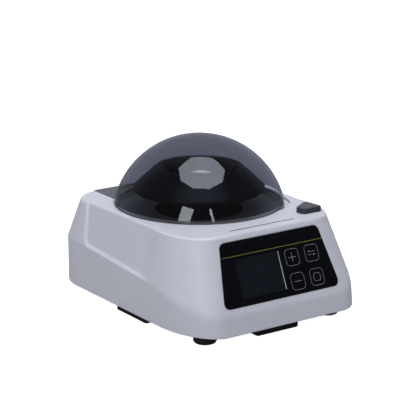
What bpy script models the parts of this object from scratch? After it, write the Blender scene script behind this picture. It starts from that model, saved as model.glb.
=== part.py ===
"""Laboratory mini centrifuge: housing, smoked dome lid, eight-place angle rotor, drive and latch.

Metres, +Z up, +X to the right as seen from the front, which faces -Y. Heights in this file are measured
from a datum just over the floor, and the finished machine is lifted so that the floor is z = 0.
"""

import math

import bmesh
import bpy
from mathutils import Matrix, Vector

MM = 0.001
GAP = 0.3 * MM
DATUM_OVER_FLOOR = 3.9 * MM
FLOOR_Z = -DATUM_OVER_FLOOR

# Housing: outlines at the bottom edge and at the top face.
TOP_Z = 74.0 * MM
SHELL_Z = 5.6 * MM
WALL = 2.5 * MM
FRONT_Y = -102.8 * MM
REAR_Y = 102.8 * MM
FRONT_HALF_WIDTH = 81.3 * MM
REAR_HALF_WIDTH = 82.0 * MM
FRONT_FLAT = 53.0 * MM
FRONT_CORNER_DEPTH = 52.0 * MM
REAR_CORNER = 36.0 * MM
TOP_FRONT_Y = -76.0 * MM
TOP_REAR_Y = 88.3 * MM
TOP_FRONT_HALF_WIDTH = 70.6 * MM
TOP_REAR_HALF_WIDTH = 73.3 * MM
TOP_FRONT_FLAT = 45.6 * MM
TOP_FRONT_CORNER_DEPTH = 35.0 * MM
TOP_REAR_CORNER = 25.6 * MM
SKIRT_FRONT_Z = 20.0 * MM
SKIRT_FRONT_LEAN = 3.0 * MM
SKIRT_SIDE_FRONT_Z = 35.0 * MM
SKIRT_SIDE_REAR_Z = 43.0 * MM
SKIRT_REAR_Z = 39.4 * MM
TOP_FILLET = 2.2 * MM
BOTTOM_CHAMFER = 0.8 * MM

# Rotor, chamber and dome share one upright axis.
AXIS_Y = 12.6 * MM
AXIS = Vector((0.0, AXIS_Y, 0.0))
DOME_RADIUS = 68.7 * MM
DOME_CENTRE_Z = 58.6 * MM
DOME_WALL = 2.5 * MM
RIM_RADIUS = 68.0 * MM
RIM_Z = 74.6 * MM
RIM_THICKNESS = 2.0 * MM
BOWL_WALL_RADIUS = 66.0 * MM
BOWL_INNER_RADIUS = 64.0 * MM
BOWL_FLOOR_Z = 68.8 * MM
WELL_RADIUS = 34.4 * MM
WELL_FLOOR_Z = 54.0 * MM
OPENING_RADIUS = BOWL_WALL_RADIUS + GAP

# Rotor section: radius and height of its corners.
ROTOR_RIM_RADIUS = 34.0 * MM
ROTOR_RIM_Z = 102.6 * MM
ROTOR_EDGE_RADIUS = 51.5 * MM
ROTOR_EDGE_Z = 86.0 * MM
ROTOR_BASE_Z = 84.0 * MM
ROTOR_DISH_RADIUS = 19.5 * MM
ROTOR_DISH_Z = 88.5 * MM
TUBE_RADIUS = 5.5 * MM
TUBE_MOUTH_RADIUS = 28.2 * MM
TUBE_MOUTH_Z = 96.8 * MM
TUBE_COUNT = 8

# Lid hinge.
HINGE_Y = 84.1 * MM
HINGE_Z = 67.5 * MM
HINGE_PIN_RADIUS = 1.5 * MM
HINGE_BARREL_RADIUS = 3.4 * MM
EAR_RADIUS = 3.2 * MM
PLATE_HALF_WIDTH = 51.0 * MM
PLATE_TOP_Z = 74.2 * MM
PLATE_BOTTOM_Z = 71.4 * MM
PLATE_ARC_RADIUS = 66.4 * MM

# Latch and release button, on a line from the axis towards the front right corner.
LATCH_ANGLE = math.radians(-52.5)
STRIKER_RADIUS = 67.1 * MM
BUTTON_CORNERS = ((43.0 * MM, -64.2 * MM), (63.0 * MM, -64.2 * MM), (59.5 * MM, -43.8 * MM),
                  (43.2 * MM, -55.0 * MM))
BUTTON_ROUND = 3.8 * MM
BUTTON_HEIGHT = 4.0 * MM
BUTTON_CLEARANCE = 0.35 * MM
COLLAR_GROWTH = 0.75 * MM
COLLAR_THICKNESS = 2.0 * MM
BUTTON_STEM = Vector((54.3 * MM, -57.8 * MM))
BUTTON_STEM_RADIUS = 1.6 * MM
BUTTON_STEM_LENGTH = 9.0 * MM
SLIDER_Z = 61.5 * MM
SLIDER_THICKNESS = 4.0 * MM
SLIDER_TRAVEL = 2.0 * MM
SLIDER_START = 68.0 * MM
SLIDER_END = 93.2 * MM
SCOOP_ANGLE = math.radians(-39.0)
SCOOP_RADIUS = 34.0 * MM
SCOOP_REACH = 70.6 * MM

# Drive.
SHAFT_RADIUS = 2.5 * MM
MOTOR_RADIUS = 17.5 * MM
MOTOR_BOTTOM_Z = 12.0 * MM
MOTOR_TOP_Z = 43.7 * MM
MOTOR_PLATE_Z = 44.0 * MM
DAMPER_OFFSET = 24.0 * MM
DAMPER_Z = 40.3 * MM

# Base pan and what stands on it.
PAN_INSET = 4.0 * MM
PAN_Z = 6.2 * MM
PAN_TOP_Z = 8.7 * MM
FOOT_RADIUS = 8.8 * MM
FOOT_ROUND = 2.2 * MM
FOOT_NECK_RADIUS = 2.6 * MM
FOOT_BARB_RADIUS = 4.0 * MM
FOOT_TOP_Z = 11.6 * MM
FOOT_PLACES = {
    "front_left": (-57.2 * MM, -77.6 * MM),
    "front_right": (57.2 * MM, -77.6 * MM),
    "rear_left": (-57.2 * MM, 77.6 * MM),
    "rear_right": (57.2 * MM, 77.6 * MM),
}
PAD_OVER_FLOOR = 0.3 * MM
PAD_ROUND = 1.5 * MM
END_PAD_SIZE = (39.0 * MM, 10.8 * MM)
SIDE_PAD_SIZE = (12.0 * MM, 42.0 * MM)
PAD_PLACES = {
    "front": (END_PAD_SIZE, (0.0, -85.8 * MM)),
    "rear": (END_PAD_SIZE, (0.0, 85.8 * MM)),
    "left": (SIDE_PAD_SIZE, (-66.2 * MM, 0.5 * MM)),
    "right": (SIDE_PAD_SIZE, (66.2 * MM, 0.5 * MM)),
}
SCREW_PLACES = {
    "front_left": (-63.5 * MM, -38.0 * MM),
    "front_right": (63.5 * MM, -38.0 * MM),
    "rear_left": (-61.5 * MM, 58.0 * MM),
    "rear_right": (61.5 * MM, 58.0 * MM),
}

# Control panel, on the front slope. Its own axes: x, and s down the slope.
PANEL_TOP_S = 5.4 * MM
PANEL_BOTTOM_S = 53.5 * MM
PANEL_TOP_HALF_WIDTH = 45.0 * MM
PANEL_BOTTOM_HALF_WIDTH = 53.2 * MM
PANEL_ROUND = 4.5 * MM
PANEL_THICKNESS = 1.0 * MM
PANEL_POCKET = 1.15 * MM
WINDOW_X = (-35.5 * MM, 3.0 * MM)
WINDOW_S = (18.8 * MM, 48.0 * MM)
WINDOW_ROUND = 1.0 * MM

# Rear wall.
SOCKET_X = -28.0 * MM
SWITCH_X = 26.0 * MM
REAR_PORT_Z = 23.0 * MM


# ---------------------------------------------------------------- scene and materials

def clear_scene():
    for ob in list(bpy.data.objects):
        bpy.data.objects.remove(ob, do_unlink=True)


def new_collection(name):
    collection = bpy.data.collections.new(name)
    bpy.context.scene.collection.children.link(collection)
    return collection


def material(name, colour, roughness, metallic=0.0, transmission=0.0):
    mat = bpy.data.materials.get(name)
    if mat is None:
        mat = bpy.data.materials.new(name)
        mat.use_nodes = True
        shader = mat.node_tree.nodes["Principled BSDF"]
        shader.inputs["Base Color"].default_value = (*colour, 1.0)
        shader.inputs["Roughness"].default_value = roughness
        shader.inputs["Metallic"].default_value = metallic
        shader.inputs["Transmission Weight"].default_value = transmission
        mat.diffuse_color = (*colour, 1.0 - 0.6 * transmission)
    return mat


def housing_plastic(name):
    return material(name, (0.52, 0.52, 0.56), 0.42)


def dark_plastic(name):
    return material(name, (0.055, 0.056, 0.068), 0.45)


def black_plastic(name):
    return material(name, (0.012, 0.013, 0.016), 0.5)


def rubber(name):
    return material(name, (0.010, 0.010, 0.012), 0.8)


def steel(name):
    return material(name, (0.56, 0.57, 0.58), 0.3, 1.0)


# ---------------------------------------------------------------- building helpers

def add_object(name, mesh, mat):
    ob = bpy.data.objects.new(name, mesh)
    PARTS.objects.link(ob)
    if mat is not None:
        mesh.materials.clear()
        mesh.materials.append(mat)
    return ob


def mesh_from(bm, name):
    bmesh.ops.recalc_face_normals(bm, faces=bm.faces)
    mesh = bpy.data.meshes.new(name)
    bm.to_mesh(mesh)
    bm.free()
    return mesh


def block_mesh(name, size):
    bm = bmesh.new()
    bmesh.ops.create_cube(bm, size=1.0)
    bmesh.ops.scale(bm, vec=size, verts=bm.verts)
    return mesh_from(bm, name)


def block(name, size, centre, mat, bevel=0.0, segments=2):
    ob = add_object(name, block_mesh(name, size), mat)
    ob.location = centre
    if bevel:
        round_edges(ob, bevel, segments)
    return ob


def rod_mesh(name, radius, length, sides):
    bm = bmesh.new()
    bmesh.ops.create_cone(bm, cap_ends=True, segments=sides, radius1=radius, radius2=radius, depth=length)
    return mesh_from(bm, name)


def rod(name, radius, length, centre, mat, sides=32, axis="Z"):
    ob = add_object(name, rod_mesh(name, radius, length, sides), mat)
    ob.location = centre
    if axis == "X":
        ob.rotation_euler = (0.0, math.radians(90.0), 0.0)
    if axis == "Y":
        ob.rotation_euler = (math.radians(90.0), 0.0, 0.0)
    return ob


def round_edges(ob, width, segments=2, angle=30.0):
    bevel = ob.modifiers.new("Bevel", "BEVEL")
    bevel.width = width
    bevel.segments = segments
    bevel.limit_method = "ANGLE"
    bevel.angle_limit = math.radians(angle)
    return bevel


def turned(name, profile, mat, centre, steps=64):
    """Closed profile of (radius, height) corners, turned about the upright line through centre."""
    mesh = bpy.data.meshes.new(name)
    count = len(profile)
    edges = [(i, (i + 1) % count) for i in range(count)]
    mesh.from_pydata([(r, 0.0, z) for r, z in profile], edges, [])
    ob = add_object(name, mesh, mat)
    ob.location = centre
    return add_screw(ob, steps)


def turned_solid(name, profile, mat, centre, steps=32):
    """Open profile whose two ends lie on the axis."""
    mesh = bpy.data.meshes.new(name)
    edges = [(i, i + 1) for i in range(len(profile) - 1)]
    mesh.from_pydata([(r, 0.0, z) for r, z in profile], edges, [])
    ob = add_object(name, mesh, mat)
    ob.location = centre
    return add_screw(ob, steps)


def add_screw(ob, steps):
    screw = ob.modifiers.new("Screw", "SCREW")
    screw.angle = math.tau
    screw.steps = steps
    screw.render_steps = steps
    screw.use_merge_vertices = True
    screw.merge_threshold = 0.01 * MM
    screw.use_smooth_shade = False
    return ob


def arc(centre, radius, start, end, steps):
    """Points on an arc in degrees, both ends included."""
    points = []
    for i in range(steps + 1):
        angle = math.radians(start + (end - start) * i / steps)
        points.append((centre[0] + radius * math.cos(angle), centre[1] + radius * math.sin(angle)))
    return points


def rounded(corners, radius, steps=5):
    """Corners of an outline, anticlockwise, with each corner replaced by an arc."""
    points = []
    count = len(corners)
    for i in range(count):
        here = Vector(corners[i])
        to_last = (Vector(corners[i - 1]) - here).normalized()
        to_next = (Vector(corners[(i + 1) % count]) - here).normalized()
        half = to_last.angle(to_next) / 2.0
        centre = here + (to_last + to_next).normalized() * (radius / math.sin(half))
        first = here + to_last * (radius / math.tan(half)) - centre
        last = here + to_next * (radius / math.tan(half)) - centre
        turn = first.angle_signed(last)
        for j in range(steps + 1):
            angle = -turn * j / steps
            spoke = Vector((first.x * math.cos(angle) - first.y * math.sin(angle),
                            first.x * math.sin(angle) + first.y * math.cos(angle)))
            points.append(tuple(centre + spoke))
    return points


def plate(name, outline, low, high, mat):
    """Flat plate between two heights, from a filled two-dimensional curve turned into a mesh."""
    curve = bpy.data.curves.new(name, "CURVE")
    curve.dimensions = "2D"
    curve.fill_mode = "BOTH"
    curve.extrude = (high - low) / 2.0
    curve.resolution_u = 1
    curve.render_resolution_u = 0
    spline = curve.splines.new("POLY")
    spline.points.add(len(outline) - 1)
    for point, (x, y) in zip(spline.points, outline):
        point.co = (x, y, 0.0, 1.0)
    spline.use_cyclic_u = True
    ob = bpy.data.objects.new(name + "_outline", curve)
    bpy.context.scene.collection.objects.link(ob)
    mesh = welded_mesh(ob, name)
    bpy.data.objects.remove(ob, do_unlink=True)
    made = add_object(name, mesh, mat)
    made.location = (0.0, 0.0, (low + high) / 2.0)
    return made


def welded_mesh(ob, name):
    """The evaluated object as a mesh with its loose caps joined on."""
    bpy.context.view_layer.update()
    evaluated = ob.evaluated_get(bpy.context.evaluated_depsgraph_get())
    mesh = bpy.data.meshes.new_from_object(evaluated)
    mesh.name = name
    bm = bmesh.new()
    bm.from_mesh(mesh)
    bmesh.ops.remove_doubles(bm, verts=bm.verts, dist=0.001 * MM)
    bmesh.ops.recalc_face_normals(bm, faces=bm.faces)
    bm.to_mesh(mesh)
    bm.free()
    mesh.materials.clear()
    return mesh


def wire(name, points, radius, mat, sides_resolution=2):
    curve = bpy.data.curves.new(name, "CURVE")
    curve.dimensions = "3D"
    curve.bevel_depth = radius
    curve.bevel_resolution = sides_resolution
    curve.use_fill_caps = True
    curve.resolution_u = 1
    curve.render_resolution_u = 0
    spline = curve.splines.new("POLY")
    spline.points.add(len(points) - 1)
    for point, place in zip(spline.points, points):
        point.co = (*place, 1.0)
    ob = bpy.data.objects.new(name, curve)
    PARTS.objects.link(ob)
    curve.materials.append(mat)
    return ob


def coil_points(radius, length, turns, per_turn=8):
    """Helix about +Z, centred on the origin."""
    points = []
    count = int(turns * per_turn)
    for i in range(count + 1):
        angle = math.tau * i / per_turn
        points.append((radius * math.cos(angle), radius * math.sin(angle), length * (i / count - 0.5)))
    return points


def to_cutters(ob):
    for collection in list(ob.users_collection):
        collection.objects.unlink(ob)
    CUTTERS.objects.link(ob)
    ob.hide_render = True
    ob.display_type = "WIRE"
    return ob


def combine(ob, other, operation):
    to_cutters(other)
    modifier = ob.modifiers.new(other.name, "BOOLEAN")
    modifier.operation = operation
    modifier.object = other
    return modifier


def cut(ob, other):
    return combine(ob, other, "DIFFERENCE")


def join(ob, other):
    return combine(ob, other, "UNION")


def cut_block(ob, name, size, centre):
    tool = block(name, size, centre, None)
    cut(ob, tool)
    return tool


def cut_rod(ob, name, radius, length, centre, sides=32, axis="Z"):
    tool = rod(name, radius, length, centre, None, sides, axis)
    cut(ob, tool)
    return tool


def hang_on(child, parent):
    """Parent without moving the child."""
    bpy.context.view_layer.update()
    child.parent = parent
    child.matrix_parent_inverse = parent.matrix_world.inverted()


def joint_empty(name, place):
    empty = bpy.data.objects.new(name, None)
    empty.empty_display_size = 10.0 * MM
    empty.location = place
    PARTS.objects.link(empty)
    return empty


def on_ray(radius, angle, height):
    """Point at a distance from the rotor axis, at an angle from +X seen from above."""
    return Vector((radius * math.cos(angle), AXIS_Y + radius * math.sin(angle), height))


def mirror_halves(ob):
    """Mirror about the middle plane x = 0, for a half modelled on its right side."""
    mirror = ob.modifiers.new("Mirror", "MIRROR")
    mirror.use_axis[0] = True
    mirror.use_clip = True
    mirror.merge_threshold = 0.01 * MM
    return mirror


# ---------------------------------------------------------------- housing shape

CORNER_STEPS = 7
REAR_STEPS = 6

# Columns of the side wall between the corners: place along the bottom outline, place along the top
# outline (0 at the front, 1 at the rear), and how deep the recessed panel lies there.
SIDE_COLUMNS = (
    (0.10, 0.02, 0.0 * MM),
    (0.15, 0.07, 1.0 * MM),
    (0.40, 0.35, 1.2 * MM),
    (0.65, 0.68, 1.5 * MM),
    (0.86, 0.965, 1.8 * MM),
    (0.885, 0.992, 0.0 * MM),
)
LEDGE_RISE = 1.6 * MM


def half_outline(front, rear, front_half, rear_half, flat, corner_depth, rear_corner, side_places):
    """Right half of a rounded outline from front middle to rear middle, and each point's normal."""
    points = [(0.0, front), (flat / 2.0, front)]
    normals = [(0.0, -1.0), (0.0, -1.0)]
    corner_width = front_half - flat
    for i in range(CORNER_STEPS + 1):
        angle = math.radians(90.0 * i / CORNER_STEPS)
        points.append((flat + corner_width * math.sin(angle),
                       front + corner_depth * (1.0 - math.cos(angle))))
        normals.append(Vector((math.sin(angle) * corner_depth,
                               -math.cos(angle) * corner_width)).normalized()[:])
    side_start = front + corner_depth
    side_end = rear - rear_corner
    for t in side_places:
        points.append((front_half + (rear_half - front_half) * t, side_start + (side_end - side_start) * t))
        normals.append((1.0, 0.0))
    for i in range(REAR_STEPS + 1):
        angle = math.radians(90.0 * i / REAR_STEPS)
        points.append((rear_half - rear_corner * (1.0 - math.cos(angle)),
                       side_end + rear_corner * math.sin(angle)))
        normals.append((math.cos(angle), math.sin(angle)))
    points.append((0.0, rear))
    normals.append((0.0, 1.0))
    return [Vector(p) for p in points], [Vector(n) for n in normals]


def bottom_outline(inset=0.0):
    return half_outline(FRONT_Y + inset, REAR_Y - inset, FRONT_HALF_WIDTH - inset, REAR_HALF_WIDTH - inset,
                        FRONT_FLAT, FRONT_CORNER_DEPTH - inset, REAR_CORNER - inset,
                        [low for low, high, depth in SIDE_COLUMNS])


def crease_heights():
    """Height of the skirt's upper edge at each column of the outline."""
    heights = [SKIRT_FRONT_Z] * 2
    for i in range(CORNER_STEPS + 1):
        t = i / CORNER_STEPS
        heights.append(SKIRT_FRONT_Z + (SKIRT_SIDE_FRONT_Z - SKIRT_FRONT_Z) * t * t)
    for t, high, depth in SIDE_COLUMNS:
        heights.append(SKIRT_SIDE_FRONT_Z + (SKIRT_SIDE_REAR_Z - SKIRT_SIDE_FRONT_Z) * t)
    for i in range(REAR_STEPS + 1):
        t = i / REAR_STEPS
        heights.append(SKIRT_SIDE_REAR_Z + (SKIRT_REAR_Z - SKIRT_SIDE_REAR_Z) * t)
    heights.append(SKIRT_REAR_Z)
    return heights


def recess_depths():
    """Depth of the side panel at each column of the outline."""
    front = 3 + CORNER_STEPS
    return [0.0] * front + [depth for low, high, depth in SIDE_COLUMNS] + [0.0] * (REAR_STEPS + 2)


def housing_columns():
    """For each column of the outline, its points from the bottom edge to the flat top."""
    low, low_normals = bottom_outline()
    high, high_normals = half_outline(TOP_FRONT_Y, TOP_REAR_Y, TOP_FRONT_HALF_WIDTH, TOP_REAR_HALF_WIDTH,
                                      TOP_FRONT_FLAT, TOP_FRONT_CORNER_DEPTH, TOP_REAR_CORNER,
                                      [top for bottom, top, depth in SIDE_COLUMNS])
    columns = []
    for a, na, b, nb, crease_z, depth in zip(low, low_normals, high, high_normals, crease_heights(),
                                             recess_depths()):
        out_low, out_high = na.to_3d(), nb.to_3d()
        edge = a.to_3d() - out_low * SKIRT_FRONT_LEAN * max(0.0, -na.y) ** 2
        crease = Vector((edge.x, edge.y, crease_z))
        foot = Vector((a.x, a.y, SHELL_Z + BOTTOM_CHAMFER))
        toe = Vector((a.x, a.y, SHELL_Z)) - out_low * BOTTOM_CHAMFER
        peak = Vector((b.x, b.y, TOP_Z)) - out_high * depth
        up_wall = (peak - crease).normalized()
        step = crease + up_wall * LEDGE_RISE - out_low * depth
        wall_end = peak - up_wall * TOP_FILLET
        flat_end = peak - out_high * TOP_FILLET
        middle = peak * 0.5 + (wall_end + flat_end) * 0.25
        columns.append([toe, foot, crease, step, (step + wall_end) / 2.0, wall_end, middle, flat_end])
    return columns


def housing_skin():
    """Right half of the outer skin, open at the middle plane and at the bottom."""
    bm = bmesh.new()
    grid = [[bm.verts.new(p) for p in column] for column in housing_columns()]
    for column, following in zip(grid, grid[1:]):
        for row in range(len(column) - 1):
            bm.faces.new((column[row], following[row], following[row + 1], column[row + 1]))
    bm.faces.new([column[-1] for column in grid])
    return mesh_from(bm, "upper_housing")


SLOPE_DOWN = (Vector((0.0, FRONT_Y + SKIRT_FRONT_LEAN, SKIRT_FRONT_Z))
              - Vector((0.0, TOP_FRONT_Y, TOP_Z))).normalized()


def slope_matrix(height=0.0):
    """Axes of the front slope: x to the right, y up the slope, z out of it, from the slope's top edge."""
    out = Vector((1.0, 0.0, 0.0)).cross(-SLOPE_DOWN)
    origin = Vector((0.0, TOP_FRONT_Y, TOP_Z)) + out * height
    matrix = Matrix.Identity(4)
    matrix.col[0][:3] = (1.0, 0.0, 0.0)
    matrix.col[1][:3] = -SLOPE_DOWN
    matrix.col[2][:3] = out
    matrix.col[3][:3] = origin
    return matrix


def on_slope(ob, low, high):
    """Lay a plate on the front slope between two heights over it."""
    ob.matrix_world = slope_matrix((low + high) / 2.0)
    return ob


def panel_outline(grow=0.0):
    top = -PANEL_TOP_S + grow
    bottom = -PANEL_BOTTOM_S - grow
    corners = [(-PANEL_BOTTOM_HALF_WIDTH - grow, bottom), (PANEL_BOTTOM_HALF_WIDTH + grow, bottom),
               (PANEL_TOP_HALF_WIDTH + grow, top), (-PANEL_TOP_HALF_WIDTH - grow, top)]
    return rounded(corners, PANEL_ROUND + grow)


def window_outline(grow=0.0):
    left, right = WINDOW_X[0] - grow, WINDOW_X[1] + grow
    top, bottom = -WINDOW_S[0] + grow, -WINDOW_S[1] - grow
    return rounded([(left, bottom), (right, bottom), (right, top), (left, top)], WINDOW_ROUND, 3)


def grown(corners, amount):
    """Convex anticlockwise outline with every edge moved outwards."""
    moved = []
    count = len(corners)
    for i in range(count):
        here = Vector(corners[i])
        before = (here - Vector(corners[i - 1])).normalized()
        after = (Vector(corners[(i + 1) % count]) - here).normalized()
        out_before = Vector((before.y, -before.x))
        out_after = Vector((after.y, -after.x))
        moved.append(tuple(here + (out_before + out_after) * (amount / (1.0 + out_before.dot(out_after)))))
    return moved


def button_outline(grow=0.0):
    return rounded(grown(BUTTON_CORNERS, grow), BUTTON_ROUND + grow, 5)


def upper_housing():
    ob = add_object("upper_housing", housing_skin(), housing_plastic("housing_abs"))
    mirror_halves(ob)
    solid = ob.modifiers.new("Solidify", "SOLIDIFY")
    solid.thickness = WALL
    solid.offset = -1.0
    solid.use_even_offset = True
    for place, (x, y) in SCREW_PLACES.items():
        boss_low = PAN_TOP_Z + GAP
        boss_high = TOP_Z - 1.5 * MM
        boss = rod("boss_" + place, 4.5 * MM, boss_high - boss_low, (x, y, (boss_low + boss_high) / 2.0),
                   None, 16)
        join(ob, boss)
        cut_rod(ob, "boss_hole_" + place, 1.7 * MM, 32.0 * MM, (x, y, boss_low), 12)
    cut_rod(ob, "chamber_opening", OPENING_RADIUS, 30.0 * MM, AXIS + Vector((0.0, 0.0, TOP_Z)), 64)
    cut_block(ob, "hinge_window", (2.0 * (PLATE_HALF_WIDTH + GAP), 60.0 * MM, 20.0 * MM),
              (0.0, 82.0 * MM, TOP_Z + 7.2 * MM))
    cut_block(ob, "hinge_notch", (2.0 * (PLATE_HALF_WIDTH + GAP), 20.0 * MM, 20.0 * MM),
              (0.0, 94.0 * MM, 72.3 * MM))
    slot = cut_block(ob, "latch_slot", (8.0 * MM, 9.8 * MM, 12.0 * MM), on_ray(64.0 * MM, LATCH_ANGLE, TOP_Z))
    slot.rotation_euler = (0.0, 0.0, LATCH_ANGLE)
    cut_rod(ob, "finger_scoop", SCOOP_RADIUS, 10.0 * MM,
            on_ray(SCOOP_REACH - SCOOP_RADIUS, SCOOP_ANGLE, TOP_Z + 3.2 * MM), 64)
    cut(ob, plate("button_hole", button_outline(BUTTON_CLEARANCE), TOP_Z - 6.0 * MM, TOP_Z + 6.0 * MM, None))
    cut_block(ob, "front_slit", (60.2 * MM, 0.9 * MM, 2.4 * MM), (0.7 * MM, -68.9 * MM, TOP_Z))
    cut(ob, on_slope(plate("panel_pocket", panel_outline(GAP), 0.0, 8.0 * MM, None),
                     -PANEL_POCKET, 8.0 * MM - PANEL_POCKET))
    cut(ob, on_slope(plate("window_hole", window_outline(-1.5 * MM), 0.0, 12.0 * MM, None),
                     -8.0 * MM, 4.0 * MM))
    cut_rod(ob, "socket_hole", 5.8 * MM, 12.0 * MM, (SOCKET_X, REAR_Y, REAR_PORT_Z), 32, "Y")
    cut_block(ob, "switch_hole", (19.6 * MM, 12.0 * MM, 13.6 * MM), (SWITCH_X, REAR_Y, REAR_PORT_Z))
    for i in range(5):
        cut_block(ob, "rear_vent_%d" % (i + 1), (2.2 * MM, 12.0 * MM, 16.0 * MM),
                  ((i - 2) * 5.0 * MM, REAR_Y, REAR_PORT_Z))
    return ob


# ---------------------------------------------------------------- base

def base_pan():
    half, _ = bottom_outline(PAN_INSET)
    right = [(p.x, p.y) for p in half[2:-1]]
    outline = right + [(-x, y) for x, y in reversed(right)]
    ob = plate("base_pan", outline, PAN_Z, PAN_TOP_Z, black_plastic("base_abs"))
    for i, (sx, sy) in enumerate(((-1, -1), (1, -1), (1, 1), (-1, 1))):
        x, y = sx * DAMPER_OFFSET, AXIS_Y + sy * DAMPER_OFFSET
        low, high = PAN_Z + 1.0 * MM, DAMPER_Z - GAP
        join(ob, rod("motor_post_%d" % (i + 1), 4.2 * MM, high - low, (x, y, (low + high) / 2.0), None, 16))
        cut_rod(ob, "motor_post_hole_%d" % (i + 1), 1.7 * MM, 22.0 * MM, (x, y, DAMPER_Z), 12)
    for place, (x, y) in FOOT_PLACES.items():
        cut_rod(ob, "foot_hole_" + place, 2.9 * MM, 10.0 * MM, (x, y, PAN_Z), 16)
    for place, (x, y) in SCREW_PLACES.items():
        cut_rod(ob, "screw_hole_" + place, 1.8 * MM, 10.0 * MM, (x, y, PAN_Z), 12)
        cut_rod(ob, "screw_seat_" + place, 3.5 * MM, 2.6 * MM, (x, y, PAN_Z), 16)
    for i in range(8):
        cut_block(ob, "base_vent_%d" % (i + 1), (2.4 * MM, 26.0 * MM, 10.0 * MM),
                  ((i - 3.5) * 6.0 * MM, -46.0 * MM, PAN_Z))
    for i, y in enumerate((10.0 * MM, 38.0 * MM)):
        join(ob, block("board_rail_%d" % (i + 1), (30.0 * MM, 3.0 * MM, 8.0 * MM),
                       (-55.0 * MM, y, PAN_TOP_Z + 2.0 * MM), None))
    return ob


def foot(place, x, y):
    seat, inside = PAN_Z - GAP, PAN_TOP_Z + GAP
    profile = [(0.0, FOOT_TOP_Z), (FOOT_BARB_RADIUS / 2.0, FOOT_TOP_Z),
               (FOOT_BARB_RADIUS, FOOT_TOP_Z - 1.8 * MM), (FOOT_BARB_RADIUS, inside),
               (FOOT_NECK_RADIUS, inside), (FOOT_NECK_RADIUS, seat),
               (FOOT_RADIUS, seat), (FOOT_RADIUS, FLOOR_Z + 1.3 * FOOT_ROUND),
               (FOOT_RADIUS - 0.3 * FOOT_ROUND, FLOOR_Z + 0.5 * FOOT_ROUND),
               (FOOT_RADIUS - FOOT_ROUND, FLOOR_Z), (0.0, FLOOR_Z)]
    return turned_solid("foot_" + place, profile, rubber("foot_rubber"), (x, y, 0.0), 24)


def edge_pads():
    low, high = FLOOR_Z + PAD_OVER_FLOOR, PAN_Z - GAP
    return [block("edge_pad_" + place, (*size, high - low), (*centre, (low + high) / 2.0),
                  rubber("pad_rubber"), PAD_ROUND)
            for place, (size, centre) in PAD_PLACES.items()]


def case_screw(place, x, y):
    low = PAN_Z + 0.1 * MM
    profile = [(0.0, 22.0 * MM), (1.3 * MM, 22.0 * MM), (1.3 * MM, low + 0.9 * MM),
               (3.1 * MM, low + 0.9 * MM), (3.1 * MM, low), (0.0, low)]
    return turned_solid("case_screw_" + place, profile, steel("screw_steel"), (x, y, 0.0), 16)


# ---------------------------------------------------------------- chamber

def chamber_bowl():
    wall_top = 72.6 * MM
    flange_top = TOP_Z - WALL - GAP
    flange_low = flange_top - 2.2 * MM
    floor_low = BOWL_FLOOR_Z - 2.0 * MM
    well_wall = WELL_RADIUS + 2.0 * MM
    profile = [(BOWL_WALL_RADIUS, wall_top), (BOWL_WALL_RADIUS, flange_top), (70.5 * MM, flange_top),
               (70.5 * MM, flange_low), (BOWL_WALL_RADIUS, flange_low), (BOWL_WALL_RADIUS, floor_low),
               (well_wall, floor_low), (well_wall, WELL_FLOOR_Z - 2.0 * MM),
               (12.0 * MM, WELL_FLOOR_Z - 2.0 * MM),
               (12.0 * MM, WELL_FLOOR_Z), (WELL_RADIUS, WELL_FLOOR_Z), (WELL_RADIUS, BOWL_FLOOR_Z),
               (BOWL_INNER_RADIUS - 1.2 * MM, BOWL_FLOOR_Z), (BOWL_INNER_RADIUS, BOWL_FLOOR_Z + 1.2 * MM),
               (BOWL_INNER_RADIUS, wall_top)]
    ob = turned("chamber_bowl", profile, black_plastic("bowl_abs"), AXIS, 64)
    middle_z = flange_top - 1.1 * MM
    clear = cut_block(ob, "flange_latch_gap", (8.0 * MM, 10.6 * MM, 4.0 * MM),
                      on_ray(BOWL_WALL_RADIUS + 4.2 * MM, LATCH_ANGLE, middle_z))
    clear.rotation_euler = (0.0, 0.0, LATCH_ANGLE)
    for side in (-1, 1):
        cut_block(ob, "flange_side_%s" % ("left" if side < 0 else "right"), (8.0 * MM, 80.0 * MM, 4.0 * MM),
                  (side * 70.6 * MM, AXIS_Y, middle_z))
    ring = rod("flange_hinge_ring", 76.0 * MM, 4.0 * MM, AXIS + Vector((0.0, 0.0, middle_z)), None, 64)
    cut_rod(ring, "flange_hinge_core", BOWL_WALL_RADIUS + 0.2 * MM, 8.0 * MM,
            AXIS + Vector((0.0, 0.0, flange_top)), 64)
    keep = block("flange_hinge_side", (110.0 * MM, 50.0 * MM, 8.0 * MM), (0.0, 77.0 * MM, flange_top), None)
    limit = ring.modifiers.new("Side", "BOOLEAN")
    limit.operation = "INTERSECT"
    limit.object = to_cutters(keep)
    cut(ob, ring)
    return ob


def chamber_gasket():
    low, high = 72.9 * MM, 74.3 * MM
    inner, outer = 64.2 * MM, 65.9 * MM
    middle = (inner + outer) / 2.0
    profile = [(outer, low), (inner, low), (inner, high - 0.4 * MM), (middle, high), (outer, high - 0.4 * MM)]
    return turned("chamber_gasket", profile, rubber("gasket_rubber"), AXIS, 64)


# ---------------------------------------------------------------- lid

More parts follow.
